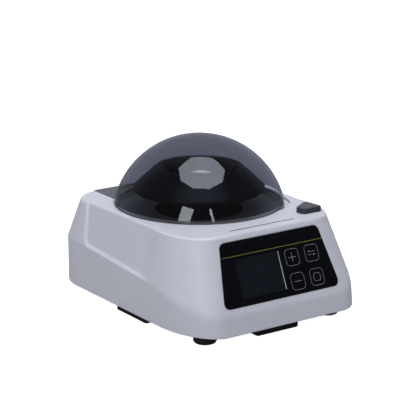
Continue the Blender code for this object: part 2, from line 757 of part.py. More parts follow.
def lid_dome():
    inner_radius = DOME_RADIUS - DOME_WALL
    rim_top = RIM_Z + RIM_THICKNESS
    start_outer = math.degrees(math.asin((rim_top - DOME_CENTRE_Z) / DOME_RADIUS))
    start_inner = math.degrees(math.asin((RIM_Z - DOME_CENTRE_Z) / inner_radius))
    centre = (0.0, DOME_CENTRE_Z)
    outer = arc(centre, DOME_RADIUS, 90.0, start_outer, 10)
    inner = arc(centre, inner_radius, start_inner, 90.0, 10)
    outer[0] = (0.0, outer[0][1])
    inner[-1] = (0.0, inner[-1][1])
    rim = [(RIM_RADIUS - 0.4 * MM, rim_top), (RIM_RADIUS, rim_top - 0.4 * MM), (RIM_RADIUS, RIM_Z)]
    smoke = material("smoked_polycarbonate", (0.05, 0.05, 0.07), 0.05, 0.0, 0.9)
    return turned_solid("lid_dome", outer + rim + inner, smoke, AXIS, 60)


def lid_hinge_plate():
    edge = math.degrees(math.acos(PLATE_HALF_WIDTH / PLATE_ARC_RADIUS))
    inner = arc((0.0, AXIS_Y), PLATE_ARC_RADIUS, 180.0 - edge, edge, 24)
    outline = inner + rounded_rear_corners()
    ob = plate("lid_hinge_plate", outline, PLATE_BOTTOM_Z, PLATE_TOP_Z, dark_plastic("hinge_cover_abs"))
    for side in (-1, 1):
        name = "left" if side < 0 else "right"
        x = side * 38.1 * MM
        join(ob, rod("barrel_" + name, HINGE_BARREL_RADIUS, 16.2 * MM, (x, HINGE_Y, HINGE_Z), None, 24, "X"))
        join(ob, block("barrel_web_" + name, (16.2 * MM, 5.0 * MM, 5.0 * MM),
                       (x, HINGE_Y, PLATE_BOTTOM_Z - 1.5 * MM), None))
        cut_rod(ob, "barrel_bore_" + name, HINGE_PIN_RADIUS + GAP, 30.0 * MM, (x, HINGE_Y, HINGE_Z), 24, "X")
    return ob


def rounded_rear_corners():
    rear = TOP_REAR_Y - 0.2 * MM
    radius = 1.5 * MM
    right = arc((PLATE_HALF_WIDTH - radius, rear - radius), radius, 0.0, 90.0, 3)
    return right + [(-x, y) for x, y in reversed(right)]


def hinge_bracket():
    """Tray under the hinge cover, with four ears that hold the two pins."""
    floor_low, floor_high = 60.3 * MM, 62.3 * MM
    ob = block("hinge_bracket", (101.0 * MM, 22.0 * MM, floor_high - floor_low),
               (0.0, 76.6 * MM, (floor_low + floor_high) / 2.0), dark_plastic("bracket_abs"))
    for side in (-1, 1):
        for label, x in (("inner", 21.5 * MM), ("outer", 48.0 * MM)):
            name = "%s_%s" % (label, "left" if side < 0 else "right")
            low = floor_low + 0.5 * MM
            join(ob, block("ear_" + name, (3.0 * MM, 2.0 * EAR_RADIUS, HINGE_Z - low),
                           (side * x, HINGE_Y, (HINGE_Z + low) / 2.0), None))
            join(ob, rod("ear_head_" + name, EAR_RADIUS, 3.0 * MM, (side * x, HINGE_Y, HINGE_Z), None, 24,
                         "X"))
            cut_rod(ob, "ear_hole_" + name, HINGE_PIN_RADIUS + 0.15 * MM, 5.0 * MM,
                    (side * x, HINGE_Y, HINGE_Z), 24, "X")
    return ob


def hinge_pins():
    pins = []
    for side in (-1, 1):
        name = "hinge_pin_" + ("left" if side < 0 else "right")
        pins.append(rod(name, HINGE_PIN_RADIUS, 30.2 * MM, (side * 34.8 * MM, HINGE_Y, HINGE_Z),
                        steel("pin_steel"), 24, "X"))
    return pins


def lid_spring(side):
    """Torsion spring round a hinge pin."""
    coil = coil_points(2.35 * MM, 5.0 * MM, 4.5)
    start, end = coil[0], coil[-1]
    leg = Vector((0.0, -4.4 * MM, 0.0))
    points = [tuple(Vector(start) + leg)] + coil + [tuple(Vector(end) + leg)]
    ob = wire("lid_spring_" + ("left" if side < 0 else "right"), points, 0.35 * MM, steel("spring_steel"))
    ob.location = (side * 26.5 * MM, HINGE_Y, HINGE_Z)
    ob.rotation_euler = (0.0, math.radians(90.0), 0.0)
    return ob


def lid_sensor():
    return block("lid_sensor", (20.0 * MM, 6.2 * MM, 6.0 * MM), (0.0, HINGE_Y - 0.6 * MM, 65.6 * MM),
                 black_plastic("sensor_case"), 0.5 * MM, 1)


def lid_striker():
    """Tongue under the dome's rim, with the window that the latch enters."""
    top, low = RIM_Z - GAP, 59.6 * MM
    ob = block("lid_striker", (1.2 * MM, 9.0 * MM, top - low),
               on_ray(STRIKER_RADIUS, LATCH_ANGLE, (top + low) / 2.0), dark_plastic("striker_pom"))
    ob.rotation_euler = (0.0, 0.0, LATCH_ANGLE)
    window = cut_block(ob, "striker_window", (6.0 * MM, 5.8 * MM, SLIDER_THICKNESS + 0.8 * MM),
                       on_ray(STRIKER_RADIUS, LATCH_ANGLE, SLIDER_Z + SLIDER_THICKNESS / 2.0))
    window.rotation_euler = (0.0, 0.0, LATCH_ANGLE)
    return ob


# ---------------------------------------------------------------- latch and button

def release_button():
    """Blunt four-sided key with a hidden collar and a stem."""
    collar_top = TOP_Z - WALL - GAP
    ob = plate("release_button", button_outline(), collar_top - 1.0 * MM, TOP_Z + BUTTON_HEIGHT,
               dark_plastic("button_abs"))
    join(ob, plate("button_collar", button_outline(COLLAR_GROWTH), collar_top - COLLAR_THICKNESS, collar_top,
                   None))
    stem_middle = collar_top - COLLAR_THICKNESS / 2.0 - BUTTON_STEM_LENGTH / 2.0 + 0.3 * MM
    join(ob, rod("button_stem", BUTTON_STEM_RADIUS, BUTTON_STEM_LENGTH, (*BUTTON_STEM, stem_middle), None,
                 16))
    return ob


def button_distance():
    return math.hypot(BUTTON_STEM.x, BUTTON_STEM.y - AXIS_Y)


def on_latch(name, size, distance, height, mat=None):
    """Block lying along the latch's line, at a distance from the rotor axis."""
    ob = block(name, size, on_ray(distance, LATCH_ANGLE, height), mat)
    ob.rotation_euler = (0.0, 0.0, LATCH_ANGLE)
    return ob


def latch_slider():
    nose_end = 74.0 * MM
    middle_z = SLIDER_Z + SLIDER_THICKNESS / 2.0
    body_length = SLIDER_END - nose_end
    ob = on_latch("latch_slider", (body_length, 7.0 * MM, SLIDER_THICKNESS), SLIDER_END - body_length / 2.0,
                  middle_z, dark_plastic("latch_pom"))
    nose_length = nose_end - SLIDER_START + 1.0 * MM
    join(ob, on_latch("slider_nose", (nose_length, 5.0 * MM, SLIDER_THICKNESS - 0.4 * MM),
                      SLIDER_START + nose_length / 2.0, middle_z))
    stem = button_distance()
    inner = stem - BUTTON_STEM_RADIUS - SLIDER_TRAVEL - GAP
    outer = stem + BUTTON_STEM_RADIUS + GAP
    cut(ob, on_latch("slider_window", (outer - inner, 2.0 * BUTTON_STEM_RADIUS + 2.0 * GAP, 10.0 * MM),
                     (inner + outer) / 2.0, SLIDER_Z))
    return ob


def latch_guide():
    """Channel that the slider runs in; its floor carries the button's spring, its end wall the slider's."""
    floor_low, floor_high = 55.0 * MM, 57.0 * MM
    start, end = 75.0 * MM, 98.9 * MM
    middle = (start + end) / 2.0
    ob = on_latch("latch_guide", (end - start, 11.4 * MM, floor_high - floor_low), middle,
                  (floor_low + floor_high) / 2.0, black_plastic("guide_abs"))
    across = Vector((-math.sin(LATCH_ANGLE), math.cos(LATCH_ANGLE), 0.0))
    rail_z = (floor_low + 66.0 * MM) / 2.0 + 0.5 * MM
    for side in (-1, 1):
        rail = on_latch("guide_rail_%s" % ("left" if side < 0 else "right"),
                        (end - start, 1.8 * MM, 10.0 * MM), middle, rail_z)
        rail.location = rail.location + across * side * 4.8 * MM
        join(ob, rail)
    join(ob, on_latch("guide_wall", (2.0 * MM, 9.0 * MM, 9.0 * MM), end - 1.0 * MM, rail_z))
    return ob


def latch_springs():
    button_spring = wire("button_spring", coil_points(1.9 * MM, 3.2 * MM, 4.0), 0.3 * MM,
                         steel("spring_steel"))
    button_spring.location = (*BUTTON_STEM, 59.25 * MM)
    latch_spring = wire("latch_spring", coil_points(1.5 * MM, 2.4 * MM, 3.0), 0.3 * MM,
                        steel("spring_steel"))
    latch_spring.location = on_ray((SLIDER_END + 96.9 * MM) / 2.0, LATCH_ANGLE, SLIDER_Z + 2.0 * MM)
    latch_spring.rotation_euler = (0.0, math.radians(90.0), LATCH_ANGLE)
    return button_spring, latch_spring


# ---------------------------------------------------------------- drive and rotor

def motor():
    low, high, boss = MOTOR_BOTTOM_Z, MOTOR_TOP_Z, MOTOR_TOP_Z + 4.0 * MM
    bore, bore_end, chamfer = SHAFT_RADIUS + GAP, 18.0 * MM, 1.0 * MM
    profile = [(0.0, bore_end), (bore, bore_end), (bore, boss), (8.0 * MM, boss), (8.0 * MM, high),
               (MOTOR_RADIUS - chamfer, high), (MOTOR_RADIUS, high - chamfer), (MOTOR_RADIUS, low + chamfer),
               (MOTOR_RADIUS - chamfer, low), (0.0, low)]
    can = turned_solid("motor_can", profile, steel("motor_steel"), AXIS, 32)
    plate_corners = [(-31.0 * MM, -31.0 * MM), (31.0 * MM, -31.0 * MM), (31.0 * MM, 31.0 * MM),
                     (-31.0 * MM, 31.0 * MM)]
    outline = [(x, y + AXIS_Y) for x, y in rounded(plate_corners, 6.0 * MM, 4)]
    flange = plate("motor_plate", outline, MOTOR_PLATE_Z, MOTOR_PLATE_Z + 2.0 * MM, steel("plate_steel"))
    cut_rod(flange, "motor_plate_bore", 8.3 * MM, 10.0 * MM, AXIS + Vector((0.0, 0.0, MOTOR_PLATE_Z)), 32)
    made = [can, flange]
    for i, (sx, sy) in enumerate(((-1, -1), (1, -1), (1, 1), (-1, 1))):
        x, y = sx * DAMPER_OFFSET, AXIS_Y + sy * DAMPER_OFFSET
        cut_rod(flange, "motor_plate_hole_%d" % (i + 1), 1.8 * MM, 10.0 * MM, (x, y, MOTOR_PLATE_Z), 12)
        high_z = MOTOR_PLATE_Z - GAP
        damper = [(5.4 * MM, high_z), (4.4 * MM, (DAMPER_Z + high_z) / 2.0), (5.4 * MM, DAMPER_Z),
                  (1.8 * MM, DAMPER_Z), (1.8 * MM, high_z)]
        made.append(turned("motor_damper_%d" % (i + 1), damper, rubber("damper_rubber"), (x, y, 0.0), 16))
        head = MOTOR_PLATE_Z + 2.0 * MM + GAP
        screw = [(0.0, head + 1.8 * MM), (3.0 * MM, head + 1.8 * MM), (3.0 * MM, head), (1.3 * MM, head),
                 (1.3 * MM, 31.0 * MM), (0.0, 31.0 * MM)]
        made.append(turned_solid("motor_screw_%d" % (i + 1), screw, steel("screw_steel"), (x, y, 0.0), 16))
    return made


def rotor_parts():
    shaft = rod("motor_shaft", SHAFT_RADIUS, 61.7 * MM, AXIS + Vector((0.0, 0.0, 49.15 * MM)),
                steel("shaft_steel"), 24)
    bore = SHAFT_RADIUS + 0.15 * MM
    hub_low, seat = 58.0 * MM, ROTOR_BASE_Z - GAP
    hub_profile = [(11.0 * MM, seat), (11.0 * MM, seat - 3.0 * MM), (7.0 * MM, seat - 6.0 * MM),
                   (7.0 * MM, hub_low), (0.0, hub_low)]
    spigot_top = 94.0 * MM
    spigot = [(0.0, spigot_top), (4.2 * MM, spigot_top), (5.0 * MM, spigot_top - 0.8 * MM), (5.0 * MM, seat)]
    hub = turned_solid("rotor_hub", spigot + hub_profile, steel("hub_aluminium"), AXIS, 32)
    cut_rod(hub, "hub_bore", bore, 46.6 * MM, AXIS + Vector((0.0, 0.0, hub_low)), 24)
    return shaft, hub, rotor(), rotor_nut()


def rotor():
    rim_in = ROTOR_RIM_RADIUS - 1.0 * MM
    profile = [(ROTOR_RIM_RADIUS, ROTOR_RIM_Z), (ROTOR_EDGE_RADIUS - 1.0 * MM, ROTOR_EDGE_Z + 1.3 * MM),
               (ROTOR_EDGE_RADIUS, ROTOR_EDGE_Z), (ROTOR_EDGE_RADIUS - 0.3 * MM, ROTOR_EDGE_Z - 1.2 * MM),
               (ROTOR_EDGE_RADIUS - 1.4 * MM, ROTOR_BASE_Z), (5.3 * MM, ROTOR_BASE_Z),
               (5.3 * MM, ROTOR_DISH_Z), (ROTOR_DISH_RADIUS, ROTOR_DISH_Z), (rim_in, ROTOR_RIM_Z)]
    ob = turned("rotor", profile, black_plastic("rotor_polypropylene"), AXIS, 64)
    for i in range(TUBE_COUNT):
        angle = math.tau * (i + 0.5) / TUBE_COUNT
        tool = rod("tube_hole_%d" % (i + 1), TUBE_RADIUS, 60.0 * MM,
                   on_ray(TUBE_MOUTH_RADIUS + 6.0 * MM, angle, TUBE_MOUTH_Z - 6.0 * MM), None, 20)
        direction = Vector((math.cos(angle), math.sin(angle), -1.0))
        tool.rotation_euler = direction.to_track_quat("Z", "Y").to_euler()
        cut(ob, tool)
    return ob


def rotor_nut():
    low = ROTOR_DISH_Z + GAP
    profile = [(9.0 * MM, low), (9.0 * MM, low + 8.0 * MM), (7.6 * MM, low + 9.4 * MM), (0.0, low + 9.4 * MM)]
    profile.reverse()
    ob = turned_solid("rotor_nut", profile + [(0.0, low)], dark_plastic("nut_abs"), AXIS, 40)
    cut_rod(ob, "nut_bore", 5.3 * MM, 12.0 * MM, AXIS + Vector((0.0, 0.0, low)), 24)
    for i in range(6):
        angle = math.tau * i / 6
        cut_rod(ob, "nut_flute_%d" % (i + 1), 1.6 * MM, 30.0 * MM, on_ray(9.8 * MM, angle, low), 12)
    return ob


# ---------------------------------------------------------------- panel, boards and rear ports

def control_panel():
    low = -PANEL_POCKET + GAP
    overlay = on_slope(plate("panel_overlay", panel_outline(), 0.0, PANEL_THICKNESS,
                             material("overlay_gloss", (0.004, 0.008, 0.010), 0.12)),
                       low, low + PANEL_THICKNESS)
    hole = on_slope(plate("overlay_window", window_outline(GAP), 0.0, 6.0 * MM, None), -3.0 * MM, 3.0 * MM)
    cut(overlay, hole)
    window = on_slope(plate("display_window", window_outline(), 0.0, PANEL_THICKNESS,
                            material("display_glass", (0.006, 0.010, 0.016), 0.08)),
                      low, low + PANEL_THICKNESS)
    middle_x = sum(WINDOW_X) / 2.0
    middle_s = -sum(WINDOW_S) / 2.0
    behind = -WALL - 0.6 * MM
    display = block("display_module", (44.0 * MM, 34.0 * MM, 4.0 * MM), (0.0, 0.0, 0.0),
                    material("display_case", (0.10, 0.11, 0.12), 0.5))
    display.matrix_world = slope_matrix(behind - 2.0 * MM) @ Matrix.Translation((middle_x, middle_s, 0.0))
    board = block("control_board", (92.0 * MM, 38.0 * MM, 1.6 * MM), (0.0, 0.0, 0.0),
                  material("control_board_laminate", (0.02, 0.10, 0.05), 0.5))
    board.matrix_world = slope_matrix(behind - 5.3 * MM) @ Matrix.Translation((0.0, middle_s + 1.0 * MM, 0.0))
    return overlay, window, display, board


def power_parts():
    rail_top = PAN_TOP_Z + 6.0 * MM
    board = block("power_board", (30.0 * MM, 42.0 * MM, 1.6 * MM),
                  (-55.0 * MM, 24.0 * MM, rail_top + 1.1 * MM),
                  material("power_board_laminate", (0.02, 0.10, 0.05), 0.5))
    capacitor = rod("capacitor", 5.0 * MM, 14.0 * MM, (-60.0 * MM, 32.0 * MM, rail_top + 9.2 * MM),
                    material("capacitor_sleeve", (0.03, 0.04, 0.10), 0.4), 24)
    return board, capacitor


def inlet_socket():
    """Round low-voltage socket with a centre pin, its mouth facing the rear."""
    depth, well, pin_end, face = 13.0 * MM, 10.0 * MM, 1.6 * MM, 0.2 * MM
    profile = [(0.0, depth), (5.4 * MM, depth), (5.4 * MM, face), (3.1 * MM, face), (3.1 * MM, well),
               (1.0 * MM, well), (1.0 * MM, pin_end), (0.0, pin_end)]
    ob = turned_solid("inlet_socket", profile, black_plastic("socket_case"),
                      (SOCKET_X, REAR_Y, REAR_PORT_Z), 32)
    ob.rotation_euler = (math.radians(90.0), 0.0, 0.0)
    return ob


def power_switch():
    depth = 12.0 * MM
    frame_y = REAR_Y - 0.2 * MM - depth / 2.0
    frame = block("switch_frame", (19.0 * MM, depth, 13.0 * MM), (SWITCH_X, frame_y, REAR_PORT_Z),
                  black_plastic("switch_case"))
    cut_block(frame, "switch_well", (15.0 * MM, 18.0 * MM, 9.4 * MM),
              (SWITCH_X, REAR_Y, REAR_PORT_Z))
    pivot_y = REAR_Y - 5.0 * MM
    half = 6.6 * MM
    outline = arc((0.0, 0.0), 3.6 * MM, 200.0, 340.0, 8)
    outline = [(-half, 3.0 * MM)] + outline + [(half, 3.0 * MM), (0.0, 2.0 * MM)]
    rocker = plate("power_rocker", outline, -4.3 * MM, 4.3 * MM, black_plastic("rocker_abs"))
    rocker.matrix_world = (Matrix.Translation((SWITCH_X, pivot_y, REAR_PORT_Z))
                           @ Matrix.Rotation(math.radians(9.0), 4, "Z"))
    return frame, rocker


# ---------------------------------------------------------------- assembly

def build():
    upper_housing()
    base_pan()
    for place, (x, y) in FOOT_PLACES.items():
        foot(place, x, y)
    for place, (x, y) in SCREW_PLACES.items():
        case_screw(place, x, y)
    edge_pads()
    chamber_bowl()
    chamber_gasket()
    hinge_bracket()
    hinge_pins()
    lid_sensor()
    latch_guide()
    motor()
    control_panel()
    power_parts()
    inlet_socket()
    latch_springs()
    for side in (-1, 1):
        lid_spring(side)

    lid_joint = joint_empty("lid_joint", (0.0, HINGE_Y, HINGE_Z))
    for ob in (lid_dome(), lid_hinge_plate(), lid_striker()):
        hang_on(ob, lid_joint)
    spin_joint = joint_empty("spin_joint", AXIS)
    for ob in rotor_parts():
        hang_on(ob, spin_joint)
    button_joint = joint_empty("button_joint", (*BUTTON_STEM, TOP_Z))
    hang_on(release_button(), button_joint)
    latch_joint = joint_empty("latch_joint", on_ray(69.9 * MM, LATCH_ANGLE, SLIDER_Z))
    hang_on(latch_slider(), latch_joint)
    frame, rocker = power_switch()
    rocker_joint = joint_empty("rocker_joint", (SWITCH_X, REAR_Y - 5.0 * MM, REAR_PORT_Z))
    hang_on(rocker, rocker_joint)
    lift_to_floor()


def lift_to_floor():
    """Move everything up so that the feet stand on z = 0; hung objects follow their joint."""
    for ob in bpy.data.objects:
        if ob.parent is None:
            ob.location.z += DATUM_OVER_FLOOR


clear_scene()
PARTS = new_collection("laboratory_centrifuge")
CUTTERS = new_collection("cutters")
build()
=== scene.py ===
"""Looks of the laboratory mini centrifuge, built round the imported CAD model.

Everything is in metres in the CAD's own frame: +Z up, the front faces -Y, the floor is z = 0.
"""

from math import acos, asin, cos, degrees, hypot, pi, radians, sin, tan, tau

import bmesh
import bpy
from mathutils import Matrix, Quaternion, Vector

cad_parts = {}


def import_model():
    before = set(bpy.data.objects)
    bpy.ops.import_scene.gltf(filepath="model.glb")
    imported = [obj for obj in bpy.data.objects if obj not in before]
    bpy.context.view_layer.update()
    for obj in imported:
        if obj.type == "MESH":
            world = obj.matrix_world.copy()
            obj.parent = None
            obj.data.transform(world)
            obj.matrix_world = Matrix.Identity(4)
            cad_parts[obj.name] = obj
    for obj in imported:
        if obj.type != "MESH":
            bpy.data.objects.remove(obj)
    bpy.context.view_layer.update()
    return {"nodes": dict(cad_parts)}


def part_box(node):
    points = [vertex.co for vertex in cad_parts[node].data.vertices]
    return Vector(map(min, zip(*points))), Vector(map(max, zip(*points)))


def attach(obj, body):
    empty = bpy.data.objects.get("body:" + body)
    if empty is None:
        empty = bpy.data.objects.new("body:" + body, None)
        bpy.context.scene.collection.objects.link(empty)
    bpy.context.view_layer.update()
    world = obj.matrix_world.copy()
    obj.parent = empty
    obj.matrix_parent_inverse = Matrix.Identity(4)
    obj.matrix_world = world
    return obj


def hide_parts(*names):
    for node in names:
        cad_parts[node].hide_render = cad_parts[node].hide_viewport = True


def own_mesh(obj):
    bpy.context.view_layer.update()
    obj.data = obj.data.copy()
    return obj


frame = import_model()

MM = 0.001
QUARTER_TURN = radians(90.0)
SHARP_ANGLE = radians(32.0)


def mm(*values):
    """Millimetres as metres, for lengths or for points."""
    return tuple(mm(*v) if isinstance(v, tuple) else v * MM for v in values)


# -------------------- places read from the frame

HOUSING_LOW, HOUSING_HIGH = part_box("upper_housing")
DOME_LOW, DOME_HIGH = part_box("lid_dome")
ROTOR_LOW, ROTOR_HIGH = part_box("rotor")
TOP_Z = HOUSING_HIGH.z
SHELL_Z = HOUSING_LOW.z
FRONT_Y = HOUSING_LOW.y
REAR_Y = HOUSING_HIGH.y
REAR_HALF_WIDTH = HOUSING_HIGH.x
AXIS_Y = (DOME_LOW.y + DOME_HIGH.y) / 2.0
AXIS = Vector((0.0, AXIS_Y, 0.0))

# -------------------- driving dimensions

GAP = 0.3 * MM
WALL = 2.5 * MM
FRONT_HALF_WIDTH = REAR_HALF_WIDTH - 0.7 * MM
FRONT_FLAT = 53.0 * MM
FRONT_CORNER_DEPTH = 52.0 * MM
REAR_CORNER = 36.0 * MM
TOP_FRONT_Y = -76.0 * MM
TOP_REAR_Y = 88.3 * MM
TOP_FRONT_HALF_WIDTH = 70.6 * MM
TOP_REAR_HALF_WIDTH = 73.3 * MM
TOP_FRONT_FLAT = 45.6 * MM
TOP_FRONT_CORNER_DEPTH = 35.0 * MM
TOP_REAR_CORNER = 25.6 * MM
SKIRT_FRONT_Z = SHELL_Z + 14.4 * MM
SKIRT_FRONT_LEAN = 3.0 * MM
SKIRT_SIDE_FRONT_Z = SHELL_Z + 29.4 * MM
SKIRT_SIDE_REAR_Z = SHELL_Z + 37.4 * MM
SKIRT_REAR_Z = SHELL_Z + 33.8 * MM
TOP_FILLET = 2.4 * MM
BOTTOM_ROUND = 1.0 * MM

# Recessed side panel: where it starts and ends along the side (0 front, 1 rear) and its depth there.
RECESS_START = 0.10
RECESS_END = 0.885
RECESS_DEPTHS = (1.7 * MM, 2.0 * MM)
RECESS_FRONT_FADE = 14.0 * MM
RECESS_CORNER = 6.5 * MM
LEDGE_WIDTH = 2.7 * MM
# Place on the bottom outline and the place on the top outline that the same column reaches.
SIDE_COLUMNS = ((0.0, 0.0), (0.10, 0.02), (0.15, 0.07), (0.40, 0.35), (0.65, 0.68), (0.86, 0.965),
                (0.885, 0.992), (1.0, 1.0))

DOME_RADIUS = 68.7 * MM
DOME_CENTRE_Z = DOME_HIGH.z - DOME_RADIUS
DOME_CENTRE = Vector((0.0, AXIS_Y, DOME_CENTRE_Z))
DOME_WALL = 2.5 * MM
RIM_RADIUS = DOME_HIGH.x
RIM_Z = DOME_LOW.z
RIM_THICKNESS = 2.0 * MM
OPENING_RADIUS = 66.3 * MM
BOWL_WALL_RADIUS = 66.0 * MM
BOWL_INNER_RADIUS = 64.0 * MM
BOWL_FLOOR_Z = TOP_Z - 5.2 * MM
WELL_RADIUS = 34.4 * MM
WELL_FLOOR_Z = TOP_Z - 20.0 * MM

ROTOR_RIM_RADIUS = 34.0 * MM
ROTOR_RIM_Z = ROTOR_HIGH.z
ROTOR_EDGE_RADIUS = ROTOR_HIGH.x
ROTOR_EDGE_Z = ROTOR_LOW.z + 2.0 * MM
ROTOR_BASE_Z = ROTOR_LOW.z
ROTOR_DISH_RADIUS = 19.5 * MM
ROTOR_DISH_Z = ROTOR_LOW.z + 4.5 * MM
BORE_RADIUS = 5.3 * MM
TUBE_RADIUS = 5.5 * MM
TUBE_MOUTH_RADIUS = 28.2 * MM
TUBE_MOUTH_Z = ROTOR_HIGH.z - 5.8 * MM
TUBE_COUNT = 8

HINGE_Y = 84.1 * MM
HINGE_Z = TOP_Z - 6.5 * MM
PLATE_HALF_WIDTH = 51.0 * MM
PLATE_ARC_RADIUS = 66.4 * MM
LATCH_ANGLE = radians(-52.5)
BUTTON_CORNERS = mm((43.0, -64.2), (63.0, -64.2), (59.5, -43.8), (43.2, -55.0))
BUTTON_ROUND = 3.8 * MM
BUTTON_STEM = Vector((54.3 * MM, -57.8 * MM, 0.0))
SCOOP_ANGLE = radians(-39.0)
SCOOP_RADIUS = 34.0 * MM
SCOOP_REACH = 70.6 * MM

PANEL_TOP_S = 5.4 * MM
PANEL_BOTTOM_S = 53.5 * MM
PANEL_TOP_HALF_WIDTH = 45.0 * MM
PANEL_BOTTOM_HALF_WIDTH = 53.2 * MM
PANEL_ROUND = 4.5 * MM
PANEL_THICKNESS = 1.0 * MM
PANEL_POCKET = 1.15 * MM
PANEL_FACE = PANEL_THICKNESS + GAP - PANEL_POCKET
WINDOW_X = (-35.5 * MM, 3.0 * MM)
WINDOW_S = (18.8 * MM, 48.0 * MM)
WINDOW_ROUND = 1.0 * MM
WINDOW_GAP = 0.02 * MM
INK = 0.04 * MM

SLIT_X = 0.7 * MM
SLIT_Y = -68.9 * MM
SLIT_LENGTH = 60.2 * MM
SLIT_WIDTH = 1.2 * MM

SOCKET_X = -28.0 * MM
SWITCH_X = 26.0 * MM
REAR_PORT_Z = SHELL_Z + 17.4 * MM


# -------------------- materials

def having(thing, **settings):
    for key, value in settings.items():
        setattr(thing, key, value)
    return thing


class Nodes:
    """Adds nodes to the node tree of a material or a world."""

    def __init__(self, owner):
        owner.use_nodes = True
        self.tree = owner.node_tree

    def feed(self, socket, value):
        """Links an output to the socket, or sets the socket's own value."""
        if isinstance(value, bpy.types.NodeSocket):
            self.tree.links.new(value, socket)
        elif socket.type == "RGBA":
            socket.default_value = (*value, 1.0)
        else:
            socket.default_value = value

    def add(self, kind, inputs=(), **settings):
        """A new node with these settings, and its inputs fed by name or number."""
        node = having(self.tree.nodes.new("ShaderNode" + kind), **settings)
        for key, value in dict(inputs).items():
            self.feed(node.inputs[key], value)
        return node

    def ranged(self, value, low, high, start=0.3, end=0.7):
        """Low where value is at start, high where it is at end."""
        return self.add("MapRange", {"From Min": start, "From Max": end, "To Min": low, "To Max": high,
                                     "Value": value}).outputs["Result"]

    def surface(self, kind, node):
        """Makes a shader node the surface of this material or world."""
        self.feed(self.tree.nodes[kind + " Output"].inputs["Surface"], node.outputs[0])


class Shader(Nodes):
    """A material with one Principled shader and helpers that add the nodes feeding it."""

    def __init__(self, name):
        self.material = bpy.data.materials.new(name)
        super().__init__(self.material)
        self.principled = self.tree.nodes["Principled BSDF"]
        self.coordinates = self.add("TexCoord").outputs["Object"]

    def noise(self, scale, detail=3.0, roughness=0.5, stretch=None):
        """Noise with features about 1 / scale metres across."""
        source = self.coordinates
        if stretch:
            source = self.add("Mapping", {"Scale": stretch, "Vector": source}).outputs["Vector"]
        return self.add("TexNoise", {"Scale": scale, "Detail": detail, "Roughness": roughness,
                                     "Vector": source}).outputs["Fac"]

    def blend(self, amount, first, second):
        """Mix of two colours by a varying amount."""
        return self.add("Mix", {6: first, 7: second, 0: amount}, data_type="RGBA").outputs[2]

    def bump(self, height, strength, distance, under=None):
        inputs = {"Strength": strength, "Distance": distance, "Height": height}
        if under is not None:
            inputs["Normal"] = under
        return self.add("Bump", inputs).outputs["Normal"]

    def made(self, **values):
        """Feeds the Principled shader, with _ for a space in an input's name, and returns the material."""
        for key, value in values.items():
            self.feed(self.principled.inputs[key.replace("_", " ")], value)
        return self.material

    def bare(self, node):
        """The material with this node as its surface, without the Principled shader."""
        self.surface("Material", node)
        self.tree.nodes.remove(self.principled)
        return self.material


def shaded(colour, factor):
    return tuple(min(1.0, c * factor) for c in colour)


def moulded_plastic(name, colour, roughness, grain=0.25, grain_scale=2200.0, variation=0.04):
    """Injection-moulded plastic: fine spark-eroded grain, faint cloudiness, a few handling marks."""
    s = Shader(name)
    clouds = s.noise(28.0, 4.0)
    marks = s.noise(160.0, 6.0, 0.7, (1.0, 0.35, 1.6))
    tone = s.blend(s.ranged(clouds, 0.0, 1.0), *(shaded(colour, 1.0 + v) for v in (-variation, variation)))
    fine = s.noise(grain_scale, 2.0, 0.6)
    return s.made(Base_Color=s.blend(s.ranged(marks, 0.0, 0.35, 0.60, 0.78), tone, shaded(colour, 0.90)),
                  Roughness=s.ranged(marks, roughness - 0.05, roughness + 0.07, 0.35, 0.70),
                  Normal=s.bump(fine, grain, 0.04 * MM, s.bump(clouds, 0.05, 0.3 * MM)), IOR=1.52)


def rubber(name, colour=(0.010, 0.010, 0.012)):
    """Matt black rubber, dusty in patches."""
    s = Shader(name)
    dust = s.noise(420.0, 5.0, 0.7)
    return s.made(Base_Color=s.blend(s.ranged(dust, 0.0, 0.6, 0.5, 0.8), colour, (0.045, 0.045, 0.048)),
                  Roughness=s.ranged(dust, 0.68, 0.88), Normal=s.bump(s.noise(1500.0, 4.0), 0.35, 0.06 * MM),
                  IOR=1.50, Specular_IOR_Level=0.35)


def metal(name, colour, roughness, stretch=(1.0, 1.0, 14.0), anisotropic=0.4):
    """Turned or drawn metal: fine lines along one direction and slightly clouded."""
    s = Shader(name)
    lines = s.noise(900.0, 4.0, 0.6, stretch)
    clouds = s.noise(90.0, 3.0)
    return s.made(Base_Color=s.blend(s.ranged(clouds, 0.0, 1.0), shaded(colour, 0.88), colour),
                  Roughness=s.ranged(lines, roughness - 0.06, roughness + 0.10),
                  Normal=s.bump(lines, 0.12, 0.02 * MM), Metallic=1.0, Anisotropic=anisotropic)


def glossy_film(name, colour, roughness, variation=0.5):
    """Polyester overlay or display glass: glossy, with orange peel and faint wiping marks."""
    s = Shader(name)
    wipes = s.noise(70.0, 5.0, 0.6, (1.0, 3.0, 3.0))
    return s.made(Base_Color=s.blend(s.ranged(wipes, 0.0, 1.0), colour, shaded(colour, 1.0 + variation)),
                  Roughness=s.ranged(wipes, roughness - 0.02, roughness + 0.06),
                  Normal=s.bump(s.noise(260.0, 2.0), 0.03, 0.05 * MM), IOR=1.50, Specular_IOR_Level=0.22)


def printed_ink(name, colour):
    """Screen print: matt, slightly uneven."""
    s = Shader(name)
    mesh = s.noise(2600.0, 2.0)
    return s.made(Base_Color=s.blend(s.ranged(mesh, 0.0, 1.0), shaded(colour, 0.86), colour),
                  Roughness=s.ranged(mesh, 0.42, 0.58), Normal=s.bump(mesh, 0.1, 0.01 * MM))


